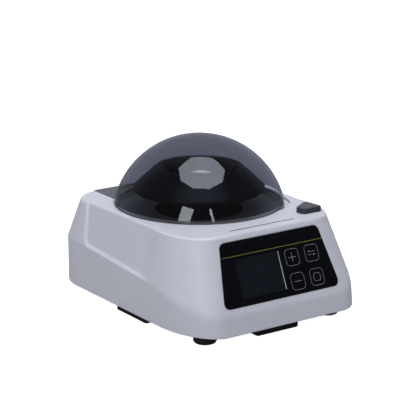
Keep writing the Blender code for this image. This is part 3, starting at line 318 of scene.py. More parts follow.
def laminate(name):
    """Green circuit board: blocks of solder mask with raised tracks between them."""
    s = Shader(name)
    tracks = s.add("TexBrick", {"Scale": 180.0, "Mortar Size": 0.06, "Color1": (0.012, 0.075, 0.030),
                                "Color2": (0.016, 0.100, 0.042), "Mortar": (0.040, 0.190, 0.080),
                                "Vector": s.coordinates})
    return s.made(Base_Color=tracks.outputs["Color"], Roughness=s.ranged(s.noise(500.0), 0.28, 0.42),
                  Normal=s.bump(tracks.outputs["Fac"], 0.3, 0.03 * MM))


def smoked_plastic(name, tint, roughness, mirror_facing=0.04, mirror_edge=0.48, shadow=None):
    """Clear wall's face, which mirrors more at its edge. Shadow tints shadow rays only: not physical."""
    s = Shader(name)
    seen = s.blend(s.ranged(s.noise(45.0, 4.0), 0.0, 1.0), shaded(tint, 0.985), shaded(tint, 1.015))
    shade = s.add("LightPath").outputs["Is Shadow Ray"]
    clear = s.add("BsdfTransparent", {"Color": s.blend(shade, seen, shadow or tint)})
    mirror = s.add("BsdfGlossy", {"Roughness": roughness, "Color": (0.96, 0.97, 1.0)})
    steep = s.add("Math", {0: s.add("LayerWeight").outputs["Facing"], 1: 5.0}, operation="POWER")
    share = s.ranged(steep.outputs[0], mirror_facing, mirror_edge, 0.0, 1.0)
    return s.bare(s.add("MixShader", {"Fac": share, 1: clear.outputs[0], 2: mirror.outputs[0]}))


SHELL = moulded_plastic("shell_plastic", (0.540, 0.537, 0.574), 0.42, 0.20, variation=0.012)
COVER = moulded_plastic("cover_plastic", (0.062, 0.064, 0.080), 0.42, 0.30)
KEY = moulded_plastic("key_plastic", (0.021, 0.022, 0.030), 0.38, 0.25)
BLACK = moulded_plastic("black_plastic", (0.0130, 0.0140, 0.0165), 0.38, 0.22)
LINER = moulded_plastic("liner_plastic", (0.33, 0.33, 0.32), 0.36, 0.15)
ROTOR = moulded_plastic("rotor_plastic", (0.0095, 0.0105, 0.0125), 0.30, 0.12, 1600.0)
LATCH = moulded_plastic("latch_plastic", (0.11, 0.11, 0.12), 0.35, 0.15)
DARK_RUBBER = rubber("foot_rubber")
SEAL = moulded_plastic("seal_silicone", (0.075, 0.075, 0.080), 0.55, 0.15)
SMOKE = smoked_plastic("smoked_plastic", (0.252, 0.261, 0.310), 0.015, shadow=(0.84, 0.84, 0.86))
SMOKE_INSIDE = smoked_plastic("smoked_plastic_inside", (0.96, 0.96, 0.965), 0.015, 0.015, 0.16)
OVERLAY = glossy_film("overlay_film", (0.0018, 0.0021, 0.0030), 0.10)
GLASS = glossy_film("display_glass", (0.0052, 0.0066, 0.0092), 0.07)
STEEL = metal("bright_steel", (0.62, 0.63, 0.65), 0.24)
SPRING = metal("spring_steel", (0.50, 0.50, 0.52), 0.30, (1.0, 1.0, 1.0))
ALUMINIUM = metal("turned_aluminium", (0.80, 0.81, 0.83), 0.26, (1.0, 1.0, 20.0), 0.5)
ZINC = metal("zinc_plate", (0.55, 0.56, 0.58), 0.38, (1.0, 1.0, 1.0), 0.0)
BOARD = laminate("circuit_board")
INK_LINE = printed_ink("ink_yellow_green", (0.17, 0.18, 0.018))
INK_BAR = printed_ink("ink_grey", (0.36, 0.38, 0.40))
INK_KEY = printed_ink("ink_pale", (0.21, 0.21, 0.215))


# -------------------- mesh helpers

def added(name, data):
    ob = bpy.data.objects.new(name, data)
    bpy.context.scene.collection.objects.link(ob)
    return ob


def finish_mesh(name, bm, material):
    bmesh.ops.recalc_face_normals(bm, faces=bm.faces)
    mesh = bpy.data.meshes.new(name)
    bm.to_mesh(mesh)
    bm.free()
    return object_from(name, mesh, material)


def object_from(name, mesh, material):
    """An object in one material, smooth but for its sharp edges."""
    mesh.materials.clear()
    mesh.materials.append(material)
    for polygon in mesh.polygons:
        polygon.use_smooth = True
        polygon.material_index = 0
    mesh.set_sharp_from_angle(angle=SHARP_ANGLE)
    return added(name, mesh)


def paint_where(ob, material, chosen):
    """Gives the faces for which chosen(face) is true a second material."""
    ob.data.materials.append(material)
    for face in ob.data.polygons:
        if chosen(face):
            face.material_index = len(ob.data.materials) - 1


def flatten_normals(ob):
    """Keeps large flat faces flat beside small rounded ones."""
    having(ob.modifiers.new("WeightedNormal", "WEIGHTED_NORMAL"), keep_sharp=True, weight=80)
    return ob


def place(ob, body, slot, *nodes):
    """Puts a finished piece on its body, standing for its CAD nodes, which it hides. The slot is not used."""
    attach(ob, body)
    if nodes:
        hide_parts(*nodes)
    return ob


def quads(bm, first, second):
    """Faces between two rings of vertices. A ring of one vertex is a point on the axis."""
    count = max(len(first), len(second))
    if count == 1:
        return
    first, second = [ring * count if len(ring) == 1 else ring for ring in (first, second)]
    for a, b, c, d in zip(first, first[1:] + first[:1], second[1:] + second[:1], second):
        bm.faces.new(list(dict.fromkeys((a, b, c, d))))


def spun(name, profile, material, centre=AXIS, steps=192):
    """Closed or axis-ended profile of (radius, height) points turned about an upright line."""
    bm = bmesh.new()
    rings = []
    for radius, height in profile:
        count = 1 if radius < 1e-7 else steps
        angles = [tau * i / count for i in range(count)]
        radius = 0.0 if count == 1 else radius
        rings.append([bm.verts.new((centre.x + radius * cos(a), centre.y + radius * sin(a),
                                    height)) for a in angles])
    closed = len(rings[0]) > 1 and len(rings[-1]) > 1
    for a, b in list(zip(rings, rings[1:])) + ([(rings[-1], rings[0])] if closed else []):
        quads(bm, a, b)
    return finish_mesh(name, bm, material)


def arc(centre, radius, start, end, steps):
    """Points on an arc in degrees, both ends included."""
    angles = [radians(between(start, end, i / steps)) for i in range(steps + 1)]
    return [(centre[0] + radius * cos(a), centre[1] + radius * sin(a)) for a in angles]


def between(first, last, share):
    return first + (last - first) * share


def quarter(steps):
    """Sine and cosine of angles from 0 to 90 degrees, both included."""
    angles = [radians(90.0 * i / steps) for i in range(steps + 1)]
    return [(sin(a), cos(a)) for a in angles]


def curve_between(first, control, last, steps):
    """Points on a quadratic curve, without its first point."""
    shares = [i / steps for i in range(1, steps + 1)]
    return [first * (1 - t) ** 2 + control * 2 * t * (1 - t) + last * t * t for t in shares]


def corners_of(outline):
    """Each corner of a closed outline, and the ways from it to the last and to the next corner."""
    for i, corner in enumerate(outline):
        here = Vector(corner)
        yield here, Vector(outline[i - 1]) - here, Vector(outline[(i + 1) % len(outline)]) - here


def eased(profile, radius, steps=4):
    """A closed profile with each corner replaced by a small curve."""
    points = []
    for here, to_last, to_next in corners_of(profile):
        reach = min(radius, 0.45 * to_last.length, 0.45 * to_next.length)
        first, last = here + to_last.normalized() * reach, here + to_next.normalized() * reach
        points += [tuple(p) for p in [first] + curve_between(first, here, last, steps)]
    return points


def rounded(corners, radius, steps=8):
    """Corners of an outline, anticlockwise, with each corner replaced by an arc."""
    points = []
    for here, to_last, to_next in corners_of(corners):
        to_last.normalize()
        to_next.normalize()
        half = to_last.angle(to_next) / 2.0
        centre = here + (to_last + to_next).normalized() * (radius / sin(half))
        first = here + to_last * (radius / tan(half)) - centre
        last = here + to_next * (radius / tan(half)) - centre
        turn = first.angle_signed(last)
        for j in range(steps + 1):
            sine, cosine = sin(-turn * j / steps), cos(-turn * j / steps)
            points.append(tuple(centre + Vector((first.x * cosine - first.y * sine,
                                                 first.x * sine + first.y * cosine))))
    return points


def grown(corners, amount):
    """Convex anticlockwise outline with every edge moved outwards."""
    moved = []
    for here, to_last, to_next in corners_of(corners):
        to_last.normalize()
        to_next.normalize()
        out_before, out_after = Vector((-to_last.y, to_last.x)), Vector((to_next.y, -to_next.x))
        moved.append(tuple(here + (out_before + out_after) * (amount / (1.0 + out_before.dot(out_after)))))
    return moved


def layered(name, outline_at, layers, material, matrix=None):
    """Solid lofted through outlines: layers holds (height, growth), and outline_at(growth) the points."""
    bm = bmesh.new()
    rings = [[bm.verts.new((x, y, z)) for x, y in outline_at(growth)] for z, growth in layers]
    for a, b in zip(rings, rings[1:]):
        quads(bm, a, b)
    bm.faces.new(list(reversed(rings[0])))
    bm.faces.new(rings[-1])
    if matrix is not None:
        bm.transform(matrix)
    return finish_mesh(name, bm, material)


def soft_layers(low, high, radius, steps=4, both=False):
    """Layers of an upright wall whose top edge, and bottom edge if both, is rounded."""
    top = [(high - radius * (1.0 - s), -radius * (1.0 - c)) for s, c in quarter(steps)]
    bottom = [(low + high - z, growth) for z, growth in reversed(top)]
    return (bottom if both else [(low, 0.0)]) + top


def flared(low, surface, high, clearance, ease):
    """Layers of a cutter that opens a little at the surface, which leaves a rounded mouth."""
    mouth = [(surface - ease * (1.0 - s), clearance + ease * (1.0 - c)) for s, c in quarter(3)]
    return [(low, clearance)] + mouth + [(high, clearance + ease + (high - surface))]


def cut_all(ob, tools):
    """Subtracts tools that don't touch each other, all at once, and removes them."""
    bm = bmesh.new()
    for tool in tools:
        tool.data.transform(tool.matrix_world)
        bm.from_mesh(tool.data)
        bpy.data.objects.remove(tool)
    joined = finish_mesh("cutters", bm, SHELL)
    having(ob.modifiers.new("Cut", "BOOLEAN"), operation="DIFFERENCE", object=joined)
    bpy.context.view_layer.update()
    mesh = bpy.data.meshes.new_from_object(ob.evaluated_get(bpy.context.evaluated_depsgraph_get()))
    name, material = ob.name, ob.data.materials[0]
    bpy.data.objects.remove(ob)
    bpy.data.objects.remove(joined)
    return object_from(name, mesh, material)


def box_outline(width, depth, centre=(0.0, 0.0), radius=0.0, growth=0.0):
    x, y = width / 2.0, depth / 2.0
    corners = grown([(centre[0] - x, centre[1] - y), (centre[0] + x, centre[1] - y),
                     (centre[0] + x, centre[1] + y), (centre[0] - x, centre[1] + y)], growth)
    return rounded(corners, radius + growth, 6) if radius + growth > 1e-6 else corners


def loft_cutter(outline_at, layers, matrix=None):
    return layered("cut", outline_at, layers, SHELL, matrix)


def block_cutter(size, centre, turn=0.0, radius=0.0, about="Z"):
    half = size[2] / 2.0
    return loft_cutter(lambda g: box_outline(size[0], size[1], radius=radius), [(-half, 0.0), (half, 0.0)],
                       Matrix.Translation(centre) @ Matrix.Rotation(turn, 4, about))


def rod_cutter(radius, low, high, centre, steps):
    return spun("cut", [(0.0, low), (radius, low), (radius, high), (0.0, high)], SHELL, centre, steps)


def mouth_cutter(centre, radius, depth, ease, steps):
    """Round hole from above with a rounded mouth at the housing's top."""
    wall = [(radius + growth, z) for z, growth in flared(TOP_Z - depth, TOP_Z, TOP_Z + 2.0 * MM, 0.0, ease)]
    return spun("cut", [(0.0, wall[0][1])] + wall + [(0.0, wall[-1][1])], SHELL, centre, steps)


def laid(ob, spot, axis):
    """Turns a piece made upright by a quarter about X or Y, and moves it to its place."""
    ob.data.transform(Matrix.Translation(spot) @ Matrix.Rotation(QUARTER_TURN, 4, axis))
    return ob


def on_ray(radius, angle, height):
    """Point at a distance from the rotor axis, at an angle from +X seen from above."""
    return Vector((radius * cos(angle), AXIS_Y + radius * sin(angle), height))


def copied(node, name, material, merged=False):
    """A new piece with a CAD node's shape. Merged joins doubled vertices and flat faces."""
    bm = bmesh.new()
    bm.from_mesh(frame["nodes"][node].data)
    if merged:
        bmesh.ops.remove_doubles(bm, verts=bm.verts, dist=0.002 * MM)
        bmesh.ops.dissolve_limit(bm, angle_limit=radians(1.0), verts=bm.verts, edges=bm.edges)
    return finish_mesh(name, bm, material)


def softened(node, body, slot, material, width, name):
    """A copy of a CAD node with its edges rounded, standing for it."""
    ob = copied(node, name, material, True)
    having(ob.modifiers.new("Bevel", "BEVEL"), width=width, segments=3, limit_method="ANGLE",
           angle_limit=radians(38.0))
    return place(flatten_normals(ob), body, slot, node)


# -------------------- housing

FRONT_STEPS = 5
CORNER_STEPS = 30
REAR_STEPS = 24
SOCKET_HOLE_RADIUS = 5.8 * MM
SWITCH_HOLE = mm(19.6, 14.0, 13.6)
VENT_SIZE = mm(2.2, 16.0, 14.0)
VENT_COUNT = 5
VENT_SPACING = 5.0 * MM
LATCH_SLOT = mm(8.0, 9.8, 12.0)
SIDE_LENGTH = REAR_Y - REAR_CORNER - FRONT_Y - FRONT_CORNER_DEPTH
# Places along the side, close together where the recess ends.
SIDE_PLACES = sorted([i / 44.0 for i in range(1, 44) if not 0.80 < i / 44.0 < 0.93]
                     + [0.80 + 0.0045 * i for i in range(29)])


def top_place(place_low):
    for (low_a, high_a), (low_b, high_b) in zip(SIDE_COLUMNS, SIDE_COLUMNS[1:]):
        if place_low <= low_b:
            return between(high_a, high_b, (place_low - low_a) / (low_b - low_a))
    return 1.0


def half_outline(front, rear, front_half, rear_half, flat, corner_depth, rear_corner, places):
    """Right half of a rounded outline from front middle to rear middle: points and their normals."""
    width = front_half - flat
    side_start, side_end = front + corner_depth, rear - rear_corner
    flat_rear = rear_half - rear_corner
    outline = [((flat * i / FRONT_STEPS, front), (0.0, -1.0)) for i in range(FRONT_STEPS)]
    outline += [((flat + width * s, front + corner_depth * (1.0 - c)), (s * corner_depth, -c * width))
                for s, c in quarter(CORNER_STEPS)]
    outline += [((between(front_half, rear_half, t), between(side_start, side_end, t)), (1.0, 0.0))
                for t in places]
    outline += [((rear_half - rear_corner * (1.0 - c), side_end + rear_corner * s), (c, s))
                for s, c in quarter(REAR_STEPS)]
    outline += [((flat_rear * (1.0 - i / 4.0), rear), (0.0, 1.0)) for i in range(1, 5)]
    return [(Vector(point), Vector(normal).normalized()) for point, normal in outline]


def clamped(t):
    return min(1.0, max(0.0, t))


def smooth(t):
    t = clamped(t)
    return t * t * (3.0 - 2.0 * t)


def crease_height(index):
    """Height of the skirt's upper edge at a column of the outline."""
    corner = index - FRONT_STEPS
    side = corner - (CORNER_STEPS + 1)
    rear = side - len(SIDE_PLACES)
    if corner < 0:
        return SKIRT_FRONT_Z
    if side < 0:
        return between(SKIRT_FRONT_Z, SKIRT_SIDE_FRONT_Z, (corner / CORNER_STEPS) ** 2)
    if rear < 0:
        return between(SKIRT_SIDE_FRONT_Z, SKIRT_SIDE_REAR_Z, SIDE_PLACES[side])
    return between(SKIRT_SIDE_REAR_Z, SKIRT_REAR_Z, smooth(rear / REAR_STEPS))


def crease_round(index):
    """Half width of the rounding at the skirt's upper edge: wide where the corner turns."""
    corner = clamped((index - FRONT_STEPS) / CORNER_STEPS)
    return (1.6 + 5.0 * sin(pi * corner) ** 2 - 0.8 * corner) * MM


def ledge(t):
    """Rises evenly from 0 to 1, eased at both ends."""
    t = clamped(t)
    ease = 0.18
    if t < ease:
        return t * t / (2.0 * ease * (1.0 - ease))
    if t > 1.0 - ease:
        return 1.0 - (1.0 - t) ** 2 / (2.0 * ease * (1.0 - ease))
    return (t - ease / 2.0) / (1.0 - ease)


def recess_at(place_low, up):
    """How deep the side panel lies at a place along the side, or None off it, and a height up the wall."""
    if place_low is None or place_low <= RECESS_START or place_low >= RECESS_END:
        return 0.0
    from_rear = (RECESS_END - place_low) * SIDE_LENGTH
    inside = min(from_rear, up)
    if from_rear < RECESS_CORNER and up < RECESS_CORNER:
        inside = RECESS_CORNER - hypot(RECESS_CORNER - from_rear, RECESS_CORNER - up)
    along = (place_low - RECESS_START) / (RECESS_END - RECESS_START)
    depth = between(*RECESS_DEPTHS, along)
    fade = smooth((place_low - RECESS_START) * SIDE_LENGTH / RECESS_FRONT_FADE)
    return depth * ledge(inside / LEDGE_WIDTH) * fade


def housing_column(low, out_low, high, out_high, crease_z, rounding, place_low):
    """One column of the outer skin, from its inner bottom edge to the flat top, and one of the inner skin."""
    out_low, out_high = out_low.to_3d(), out_high.to_3d()
    foot = Vector((low.x, low.y, SHELL_Z))
    crease = foot - out_low * (SKIRT_FRONT_LEAN * max(0.0, -out_low.y) ** 2)
    crease.z = crease_z
    peak = Vector((high.x, high.y, TOP_Z))
    up_skirt = (crease - foot).normalized()
    up_wall = (peak - crease).normalized()
    length = (peak - crease).length
    points = [foot - out_low * WALL, foot - out_low * BOTTOM_ROUND]
    points += curve_between(points[-1], foot, foot + up_skirt * BOTTOM_ROUND, 4)
    skirt_end = crease - up_skirt * rounding
    start = points[-1]
    points += [start.lerp(skirt_end, i / 6.0) for i in range(1, 7)]
    for point in curve_between(skirt_end, crease, crease + up_wall * rounding, 8):
        up = max(0.0, (point - crease).dot(up_wall))
        points.append(point - out_low * recess_at(place_low, up))
    wall_top = length - TOP_FILLET
    near_end = rounding + 14.0 * MM
    ups = [between(rounding, near_end, i / 30.0) for i in range(1, 31)]
    ups += [between(near_end, wall_top, i / 9.0) for i in range(1, 10)]
    for up in ups:
        outward = out_low.lerp(out_high, up / length).normalized()
        points.append(crease + up_wall * up - outward * recess_at(place_low, up))
    shifted = peak - out_high * recess_at(place_low, wall_top)
    points += curve_between(points[-1], shifted, shifted - out_high * TOP_FILLET, 7)
    inner_peak = peak - out_high * (WALL + RECESS_DEPTHS[1])
    inner_peak.z = TOP_Z - WALL
    inner_crease = crease - out_low * (WALL + RECESS_DEPTHS[1])
    return points, [foot - out_low * WALL, inner_crease, inner_peak]


def housing_skin():
    """The closed shell: outer skin, flat top, inner skin."""
    low = half_outline(FRONT_Y, REAR_Y, FRONT_HALF_WIDTH, REAR_HALF_WIDTH, FRONT_FLAT,
                       FRONT_CORNER_DEPTH, REAR_CORNER, SIDE_PLACES)
    high = half_outline(TOP_FRONT_Y, TOP_REAR_Y, TOP_FRONT_HALF_WIDTH, TOP_REAR_HALF_WIDTH, TOP_FRONT_FLAT,
                        TOP_FRONT_CORNER_DEPTH, TOP_REAR_CORNER, [top_place(t) for t in SIDE_PLACES])
    on_side = [None] * (FRONT_STEPS + CORNER_STEPS + 1) + SIDE_PLACES + [None] * len(low)
    right = [housing_column(*bottom, *top, crease_height(i), crease_round(i), on_side[i])
             for i, (bottom, top) in enumerate(zip(low, high))]
    left = [[[Vector((-p.x, p.y, p.z)) for p in skin] for skin in column] for column in reversed(right[1:-1])]
    bm = bmesh.new()
    outer_grid = [[bm.verts.new(p) for p in outer] for outer, inner in right + left]
    inner_grid = [[column[0]] + [bm.verts.new(p) for p in inner[1:]]
                  for column, (outer, inner) in zip(outer_grid, right + left)]
    for grid in (outer_grid, inner_grid):
        rows = [list(row) for row in zip(*grid)]
        for row, following in zip(rows, rows[1:]):
            quads(bm, row, following)
        bm.faces.new(rows[-1])
    return finish_mesh("housing_shell", bm, SHELL)


SLOPE_DOWN = (Vector((0.0, FRONT_Y + SKIRT_FRONT_LEAN, SKIRT_FRONT_Z))
              - Vector((0.0, TOP_FRONT_Y, TOP_Z))).normalized()


def slope_matrix():
    """Axes of the front slope: x to the right, y up the slope, z out of it, from the slope's top edge."""
    right = Vector((1.0, 0.0, 0.0))
    turn = Matrix((right, -SLOPE_DOWN, right.cross(-SLOPE_DOWN))).transposed()
    return Matrix.Translation((0.0, TOP_FRONT_Y, TOP_Z)) @ turn.to_4x4()


def panel_outline(growth):
    low, high = PANEL_BOTTOM_HALF_WIDTH, PANEL_TOP_HALF_WIDTH
    corners = [(-low, -PANEL_BOTTOM_S), (low, -PANEL_BOTTOM_S), (high, -PANEL_TOP_S), (-high, -PANEL_TOP_S)]
    return rounded(grown(corners, growth), PANEL_ROUND + growth)


def window_outline(growth):
    (left, right), (near, far) = WINDOW_X, WINDOW_S
    corners = [(left, -far), (right, -far), (right, -near), (left, -near)]
    return rounded(grown(corners, growth), max(WINDOW_ROUND + growth, 0.4 * MM), 4)


def button_outline(growth):
    return rounded(grown(BUTTON_CORNERS, growth), BUTTON_ROUND + growth, 10)


# Faces of the slit in the housing's top. They are painted black as painted shade, because the narrow gap
# shows little shade of its own from this view.
def in_slit_painted_shade(face):
    middle = face.center
    return (abs(middle.y - SLIT_Y) < 0.51 * SLIT_WIDTH and abs(middle.x - SLIT_X) < 0.501 * SLIT_LENGTH
            and TOP_Z - 2.3 * MM < middle.z < TOP_Z - 0.05 * MM)


def housing_shell():
    """The skin with its openings cut in three rounds, so that no two cutters of a round touch."""
    window_width = 2.0 * (PLATE_HALF_WIDTH + GAP)
    slope, port = slope_matrix(), Vector((0.0, REAR_Y, REAR_PORT_Z))
    right = Vector((1.0, 0.0, 0.0))
    scoop_centre = on_ray(SCOOP_REACH - SCOOP_RADIUS, SCOOP_ANGLE, 0.0)
    shell = cut_all(housing_skin(), [
        mouth_cutter(AXIS, OPENING_RADIUS, 15.0 * MM, 0.5 * MM, 200),
        loft_cutter(button_outline, flared(TOP_Z - 6.0 * MM, TOP_Z, TOP_Z + 2.0 * MM, *mm(0.35, 0.3))),
        block_cutter((SLIT_LENGTH, SLIT_WIDTH, 4.4 * MM), (SLIT_X, SLIT_Y, TOP_Z), radius=0.49 * SLIT_WIDTH),
        loft_cutter(panel_outline, flared(-PANEL_POCKET, 0.0, 6.0 * MM, GAP, 0.3 * MM), slope),
        laid(rod_cutter(SOCKET_HOLE_RADIUS, -7.0 * MM, 7.0 * MM, Vector(), 64), port + right * SOCKET_X, "X"),
        block_cutter(SWITCH_HOLE, port + right * SWITCH_X),
    ] + [
        block_cutter(VENT_SIZE, port + right * (i - VENT_COUNT // 2) * VENT_SPACING, QUARTER_TURN,
                     1.09 * MM, "X") for i in range(VENT_COUNT)
    ])
    shell = cut_all(shell, [
        block_cutter((window_width, 30.0 * MM, 16.0 * MM), (0.0, 67.0 * MM, TOP_Z)),
        block_cutter(LATCH_SLOT, on_ray(64.0 * MM, LATCH_ANGLE, TOP_Z), LATCH_ANGLE),
        loft_cutter(window_outline, mm((-8.0, -1.5), (4.0, -1.5)), slope),
    ])
    shell = cut_all(shell, [
        block_cutter((window_width, 30.0 * MM, 24.0 * MM), (0.0, 94.0 * MM, HINGE_Z + 6.8 * MM)),
        mouth_cutter(scoop_centre, SCOOP_RADIUS, *mm(1.8, 0.4), 160),
    ])
    # The slit's faces get the black material: painted shade in the gap.
    paint_where(flatten_normals(shell), BLACK, in_slit_painted_shade)
    return place(shell, "base", "housing_abs", "upper_housing")


# -------------------- lid

def dome_shell():
    """Smoked outside, clear on its inner and rim faces, so that light is tinted once on its way through."""
    inner_radius = DOME_RADIUS - DOME_WALL
    rim_top = RIM_Z + RIM_THICKNESS
    start_outer = degrees(asin((rim_top - DOME_CENTRE_Z) / DOME_RADIUS))
    start_inner = degrees(asin((RIM_Z - DOME_CENTRE_Z) / inner_radius))
    centre = (0.0, DOME_CENTRE_Z)
    outer = arc(centre, DOME_RADIUS, 90.0, start_outer, 48)
    inner = arc(centre, inner_radius, start_inner, 90.0, 48)
    ease = 0.4 * MM
    rim = arc((RIM_RADIUS - ease, rim_top - ease), ease, 90.0, 0.0, 4)
    rim += arc((RIM_RADIUS - ease, RIM_Z + ease), ease, 0.0, -90.0, 4)
    dome = spun("smoked_dome", outer + rim + inner, SMOKE)
    paint_where(dome, SMOKE_INSIDE, lambda face: face.center.z < rim_top + 0.1 * MM
                or face.normal.dot(face.center - DOME_CENTRE) < -0.5 * DOME_RADIUS)
    return place(dome, "lid", "smoked_polycarbonate", "lid_dome")


def hinge_outline(growth):
    edge = degrees(acos((PLATE_HALF_WIDTH + growth) / (PLATE_ARC_RADIUS - growth)))
    inner = arc((0.0, AXIS_Y), PLATE_ARC_RADIUS - growth, 180.0 - edge, edge, 64)
    rear = TOP_REAR_Y - 0.2 * MM + growth
    radius = 1.5 * MM + growth
    right = arc((PLATE_HALF_WIDTH + growth - radius, rear - radius), radius, 0.0, 90.0, 6)
    return inner + right + [(-x, y) for x, y in reversed(right)]


def hinge_cover():
    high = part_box("lid_hinge_plate")[1]
    cover = layered("hinge_cover", hinge_outline, soft_layers(high.z - 2.8 * MM, high.z, 0.5 * MM), COVER)
    barrel = mm((1.8, -8.1), (3.4, -8.1), (3.4, 8.1), (1.8, 8.1))
    for name, side in (("left", -1), ("right", 1)):
        piece = spun("hinge_barrel_" + name, eased(barrel, 0.3 * MM, 2), COVER, Vector(), 48)
        place(laid(piece, (side * 38.1 * MM, HINGE_Y, HINGE_Z), "Y"), "lid", "hinge_cover_abs")
    return place(flatten_normals(cover), "lid", "hinge_cover_abs", "lid_hinge_plate")


# -------------------- button and panel

def release_button():
    """The button's cap, with the collar and stem that hold it under the housing's top."""
    low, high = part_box("release_button")
    collar_top = TOP_Z - WALL - GAP
    crown = mm((-1.15, 0.0), (-0.75, -0.12), (-0.42, -0.42), (-0.20, -0.9), (-0.07, -1.6), (-0.02, -2.3))
    layers = [(collar_top - 1.0 * MM, 0.0), (TOP_Z, 0.0)] + [(high.z + z, growth) for z, growth in crown]
    button = layered("release_key", button_outline, layers, KEY)
    collar = layered("release_key_collar", button_outline,
                     [(collar_top - 2.0 * MM, 0.75 * MM), (collar_top, 0.75 * MM)], KEY)
    stem = [(0.2 * MM, low.z), (1.6 * MM, low.z), (1.6 * MM, collar_top), (0.2 * MM, collar_top)]
    place(collar, "button", "button_abs")
    place(spun("release_key_stem", eased(stem, 0.3 * MM, 2), KEY, BUTTON_STEM, 32), "button", "button_abs")
    return place(flatten_normals(button), "button", "button_abs", "release_button")


def control_panel():
    low = PANEL_FACE - PANEL_THICKNESS
    slope = slope_matrix()
    film = layered("panel_film", panel_outline, soft_layers(low, PANEL_FACE, 0.25 * MM, 3), OVERLAY, slope)
    hole = loft_cutter(window_outline, [(-3.0 * MM, WINDOW_GAP), (3.0 * MM, WINDOW_GAP)], slope)
    place(flatten_normals(cut_all(film, [hole])), "base", "overlay_gloss", "panel_overlay")
    pane = soft_layers(low, PANEL_FACE, 0.04 * MM, 2)
    window = layered("display_glass", window_outline, pane, GLASS, slope)
    place(flatten_normals(window), "base", "display_glass", "display_window")


def printed(name, shapes, material):
    """Raised print on the panel's face. Each shape is a list of outlines: one, or one and its hole."""
    bm = bmesh.new()
    for outlines in shapes:
        rings = [[[bm.verts.new((x, y, z)) for x, y in outline] for outline in outlines]
                 for z in (PANEL_FACE + 0.005 * MM, PANEL_FACE + INK)]
        for bottom, top in zip(*rings):
            quads(bm, bottom, top)
        for ring in rings:
            if len(ring) == 1:
                bm.faces.new(ring[0])
            else:
                quads(bm, *ring)
    bm.transform(slope_matrix())
    return place(finish_mesh(name, bm, material), "base", "overlay_gloss")


def bar(x, s, width, height):
    """Upright bar centred at x and s on the panel."""
    return [box_outline(width, height, (x, -s))]


def frame_of(x, s, width, height, radius, line):
    return [box_outline(width, height, (x, -s), radius, growth) for growth in (0.0, -line)]


def arrow(x, s, length, way):
    """Arrow with half a head, pointing right (way 1) or left (way -1)."""
    half, head, barb, line = length / 2.0, 2.1 * MM, 1.2 * MM, 0.16 * MM
    shape = [(-half, -line), (half - 0.75 * head, -line), (half - head, -barb), (half, line), (-half, line)]
    return [[(x + way * a, -s + way * b) for a, b in shape]]


def plus(x, s, arm, line):
    """Upright cross: the same three corners in each quarter."""
    corner = [(-line, -arm), (line, -arm), (line, -line)]
    turned = []
    for _ in range(4):
        turned += corner
        corner = [(-b, a) for a, b in corner]
    return [[(x + a, -s + b) for a, b in turned]]


PLUS_KEY, SWAP_KEY, MINUS_KEY, STOP_KEY = mm((15.7, 25.5), (34.0, 25.3), (15.9, 43.9), (33.9, 43.7))
LINE_S = 16.1 * MM


def panel_prints():
    slope_share = (LINE_S - PANEL_TOP_S) / (PANEL_BOTTOM_S - PANEL_TOP_S)
    half = between(PANEL_TOP_HALF_WIDTH, PANEL_BOTTOM_HALF_WIDTH, slope_share)
    printed("print_line", [bar(0.0, LINE_S, 2.0 * (half - 0.4 * MM), 0.44 * MM)], INK_LINE)
    printed("print_bar", [bar(WINDOW_X[1] + 1.0 * MM, 33.4 * MM, 0.7 * MM, 29.0 * MM)], INK_BAR)
    printed("print_keys", [frame_of(*key, *mm(12.5, 12.8, 3.2, 0.28))
                           for key in (PLUS_KEY, SWAP_KEY, MINUS_KEY, STOP_KEY)], INK_KEY)
    x, s = SWAP_KEY
    printed("print_symbols", [plus(*PLUS_KEY, *mm(3.5, 0.19)), bar(*MINUS_KEY, *mm(6.8, 0.38)),
                              frame_of(*STOP_KEY, *mm(6.4, 6.2, 1.6, 0.32)),
                              arrow(x, s - 1.1 * MM, 7.0 * MM, -1),
                              arrow(x, s + 1.1 * MM, 7.0 * MM, 1)], INK_KEY)


# -------------------- rotor and chamber

def rotor_body():
    rim, edge, edge_z = ROTOR_RIM_RADIUS, ROTOR_EDGE_RADIUS, ROTOR_EDGE_Z
    profile = [(rim, ROTOR_RIM_Z), (edge - 1.0 * MM, edge_z + 1.3 * MM), (edge, edge_z),
               (edge - 0.3 * MM, edge_z - 1.2 * MM), (edge - 1.4 * MM, ROTOR_BASE_Z),
               (BORE_RADIUS, ROTOR_BASE_Z), (BORE_RADIUS, ROTOR_DISH_Z), (ROTOR_DISH_RADIUS, ROTOR_DISH_Z),
               (rim - 1.0 * MM, ROTOR_RIM_Z)]
    rotor = spun("rotor_body", eased(profile, 0.45 * MM, 3), ROTOR)
    tools = []
    for i in range(TUBE_COUNT):
        angle = tau * (i + 0.5) / TUBE_COUNT
        tool = rod_cutter(TUBE_RADIUS, -30.0 * MM, 30.0 * MM, Vector(), 56)
        lean = Vector((cos(angle), sin(angle), -1.0)).to_track_quat("Z", "Y")
        mouth = on_ray(TUBE_MOUTH_RADIUS + 6.0 * MM, angle, TUBE_MOUTH_Z - 6.0 * MM)
        tool.data.transform(Matrix.Translation(mouth) @ lean.to_matrix().to_4x4())
        tools.append(tool)
    for half in (tools[0::2], tools[1::2]):
        rotor = cut_all(rotor, half)
    return place(flatten_normals(rotor), "rotor_assembly", "rotor_polypropylene", "rotor")


def fluted(growth, radius=9.0 * MM):
    """Round outline with six shallow grips."""
    angles = [tau * i / 144 for i in range(144)]
    dips = [0.9 * MM * max(0.0, cos(6.0 * a)) ** 4 for a in angles]
    return [on_ray(radius + growth - dip, a, 0.0)[:2] for dip, a in zip(dips, angles)]


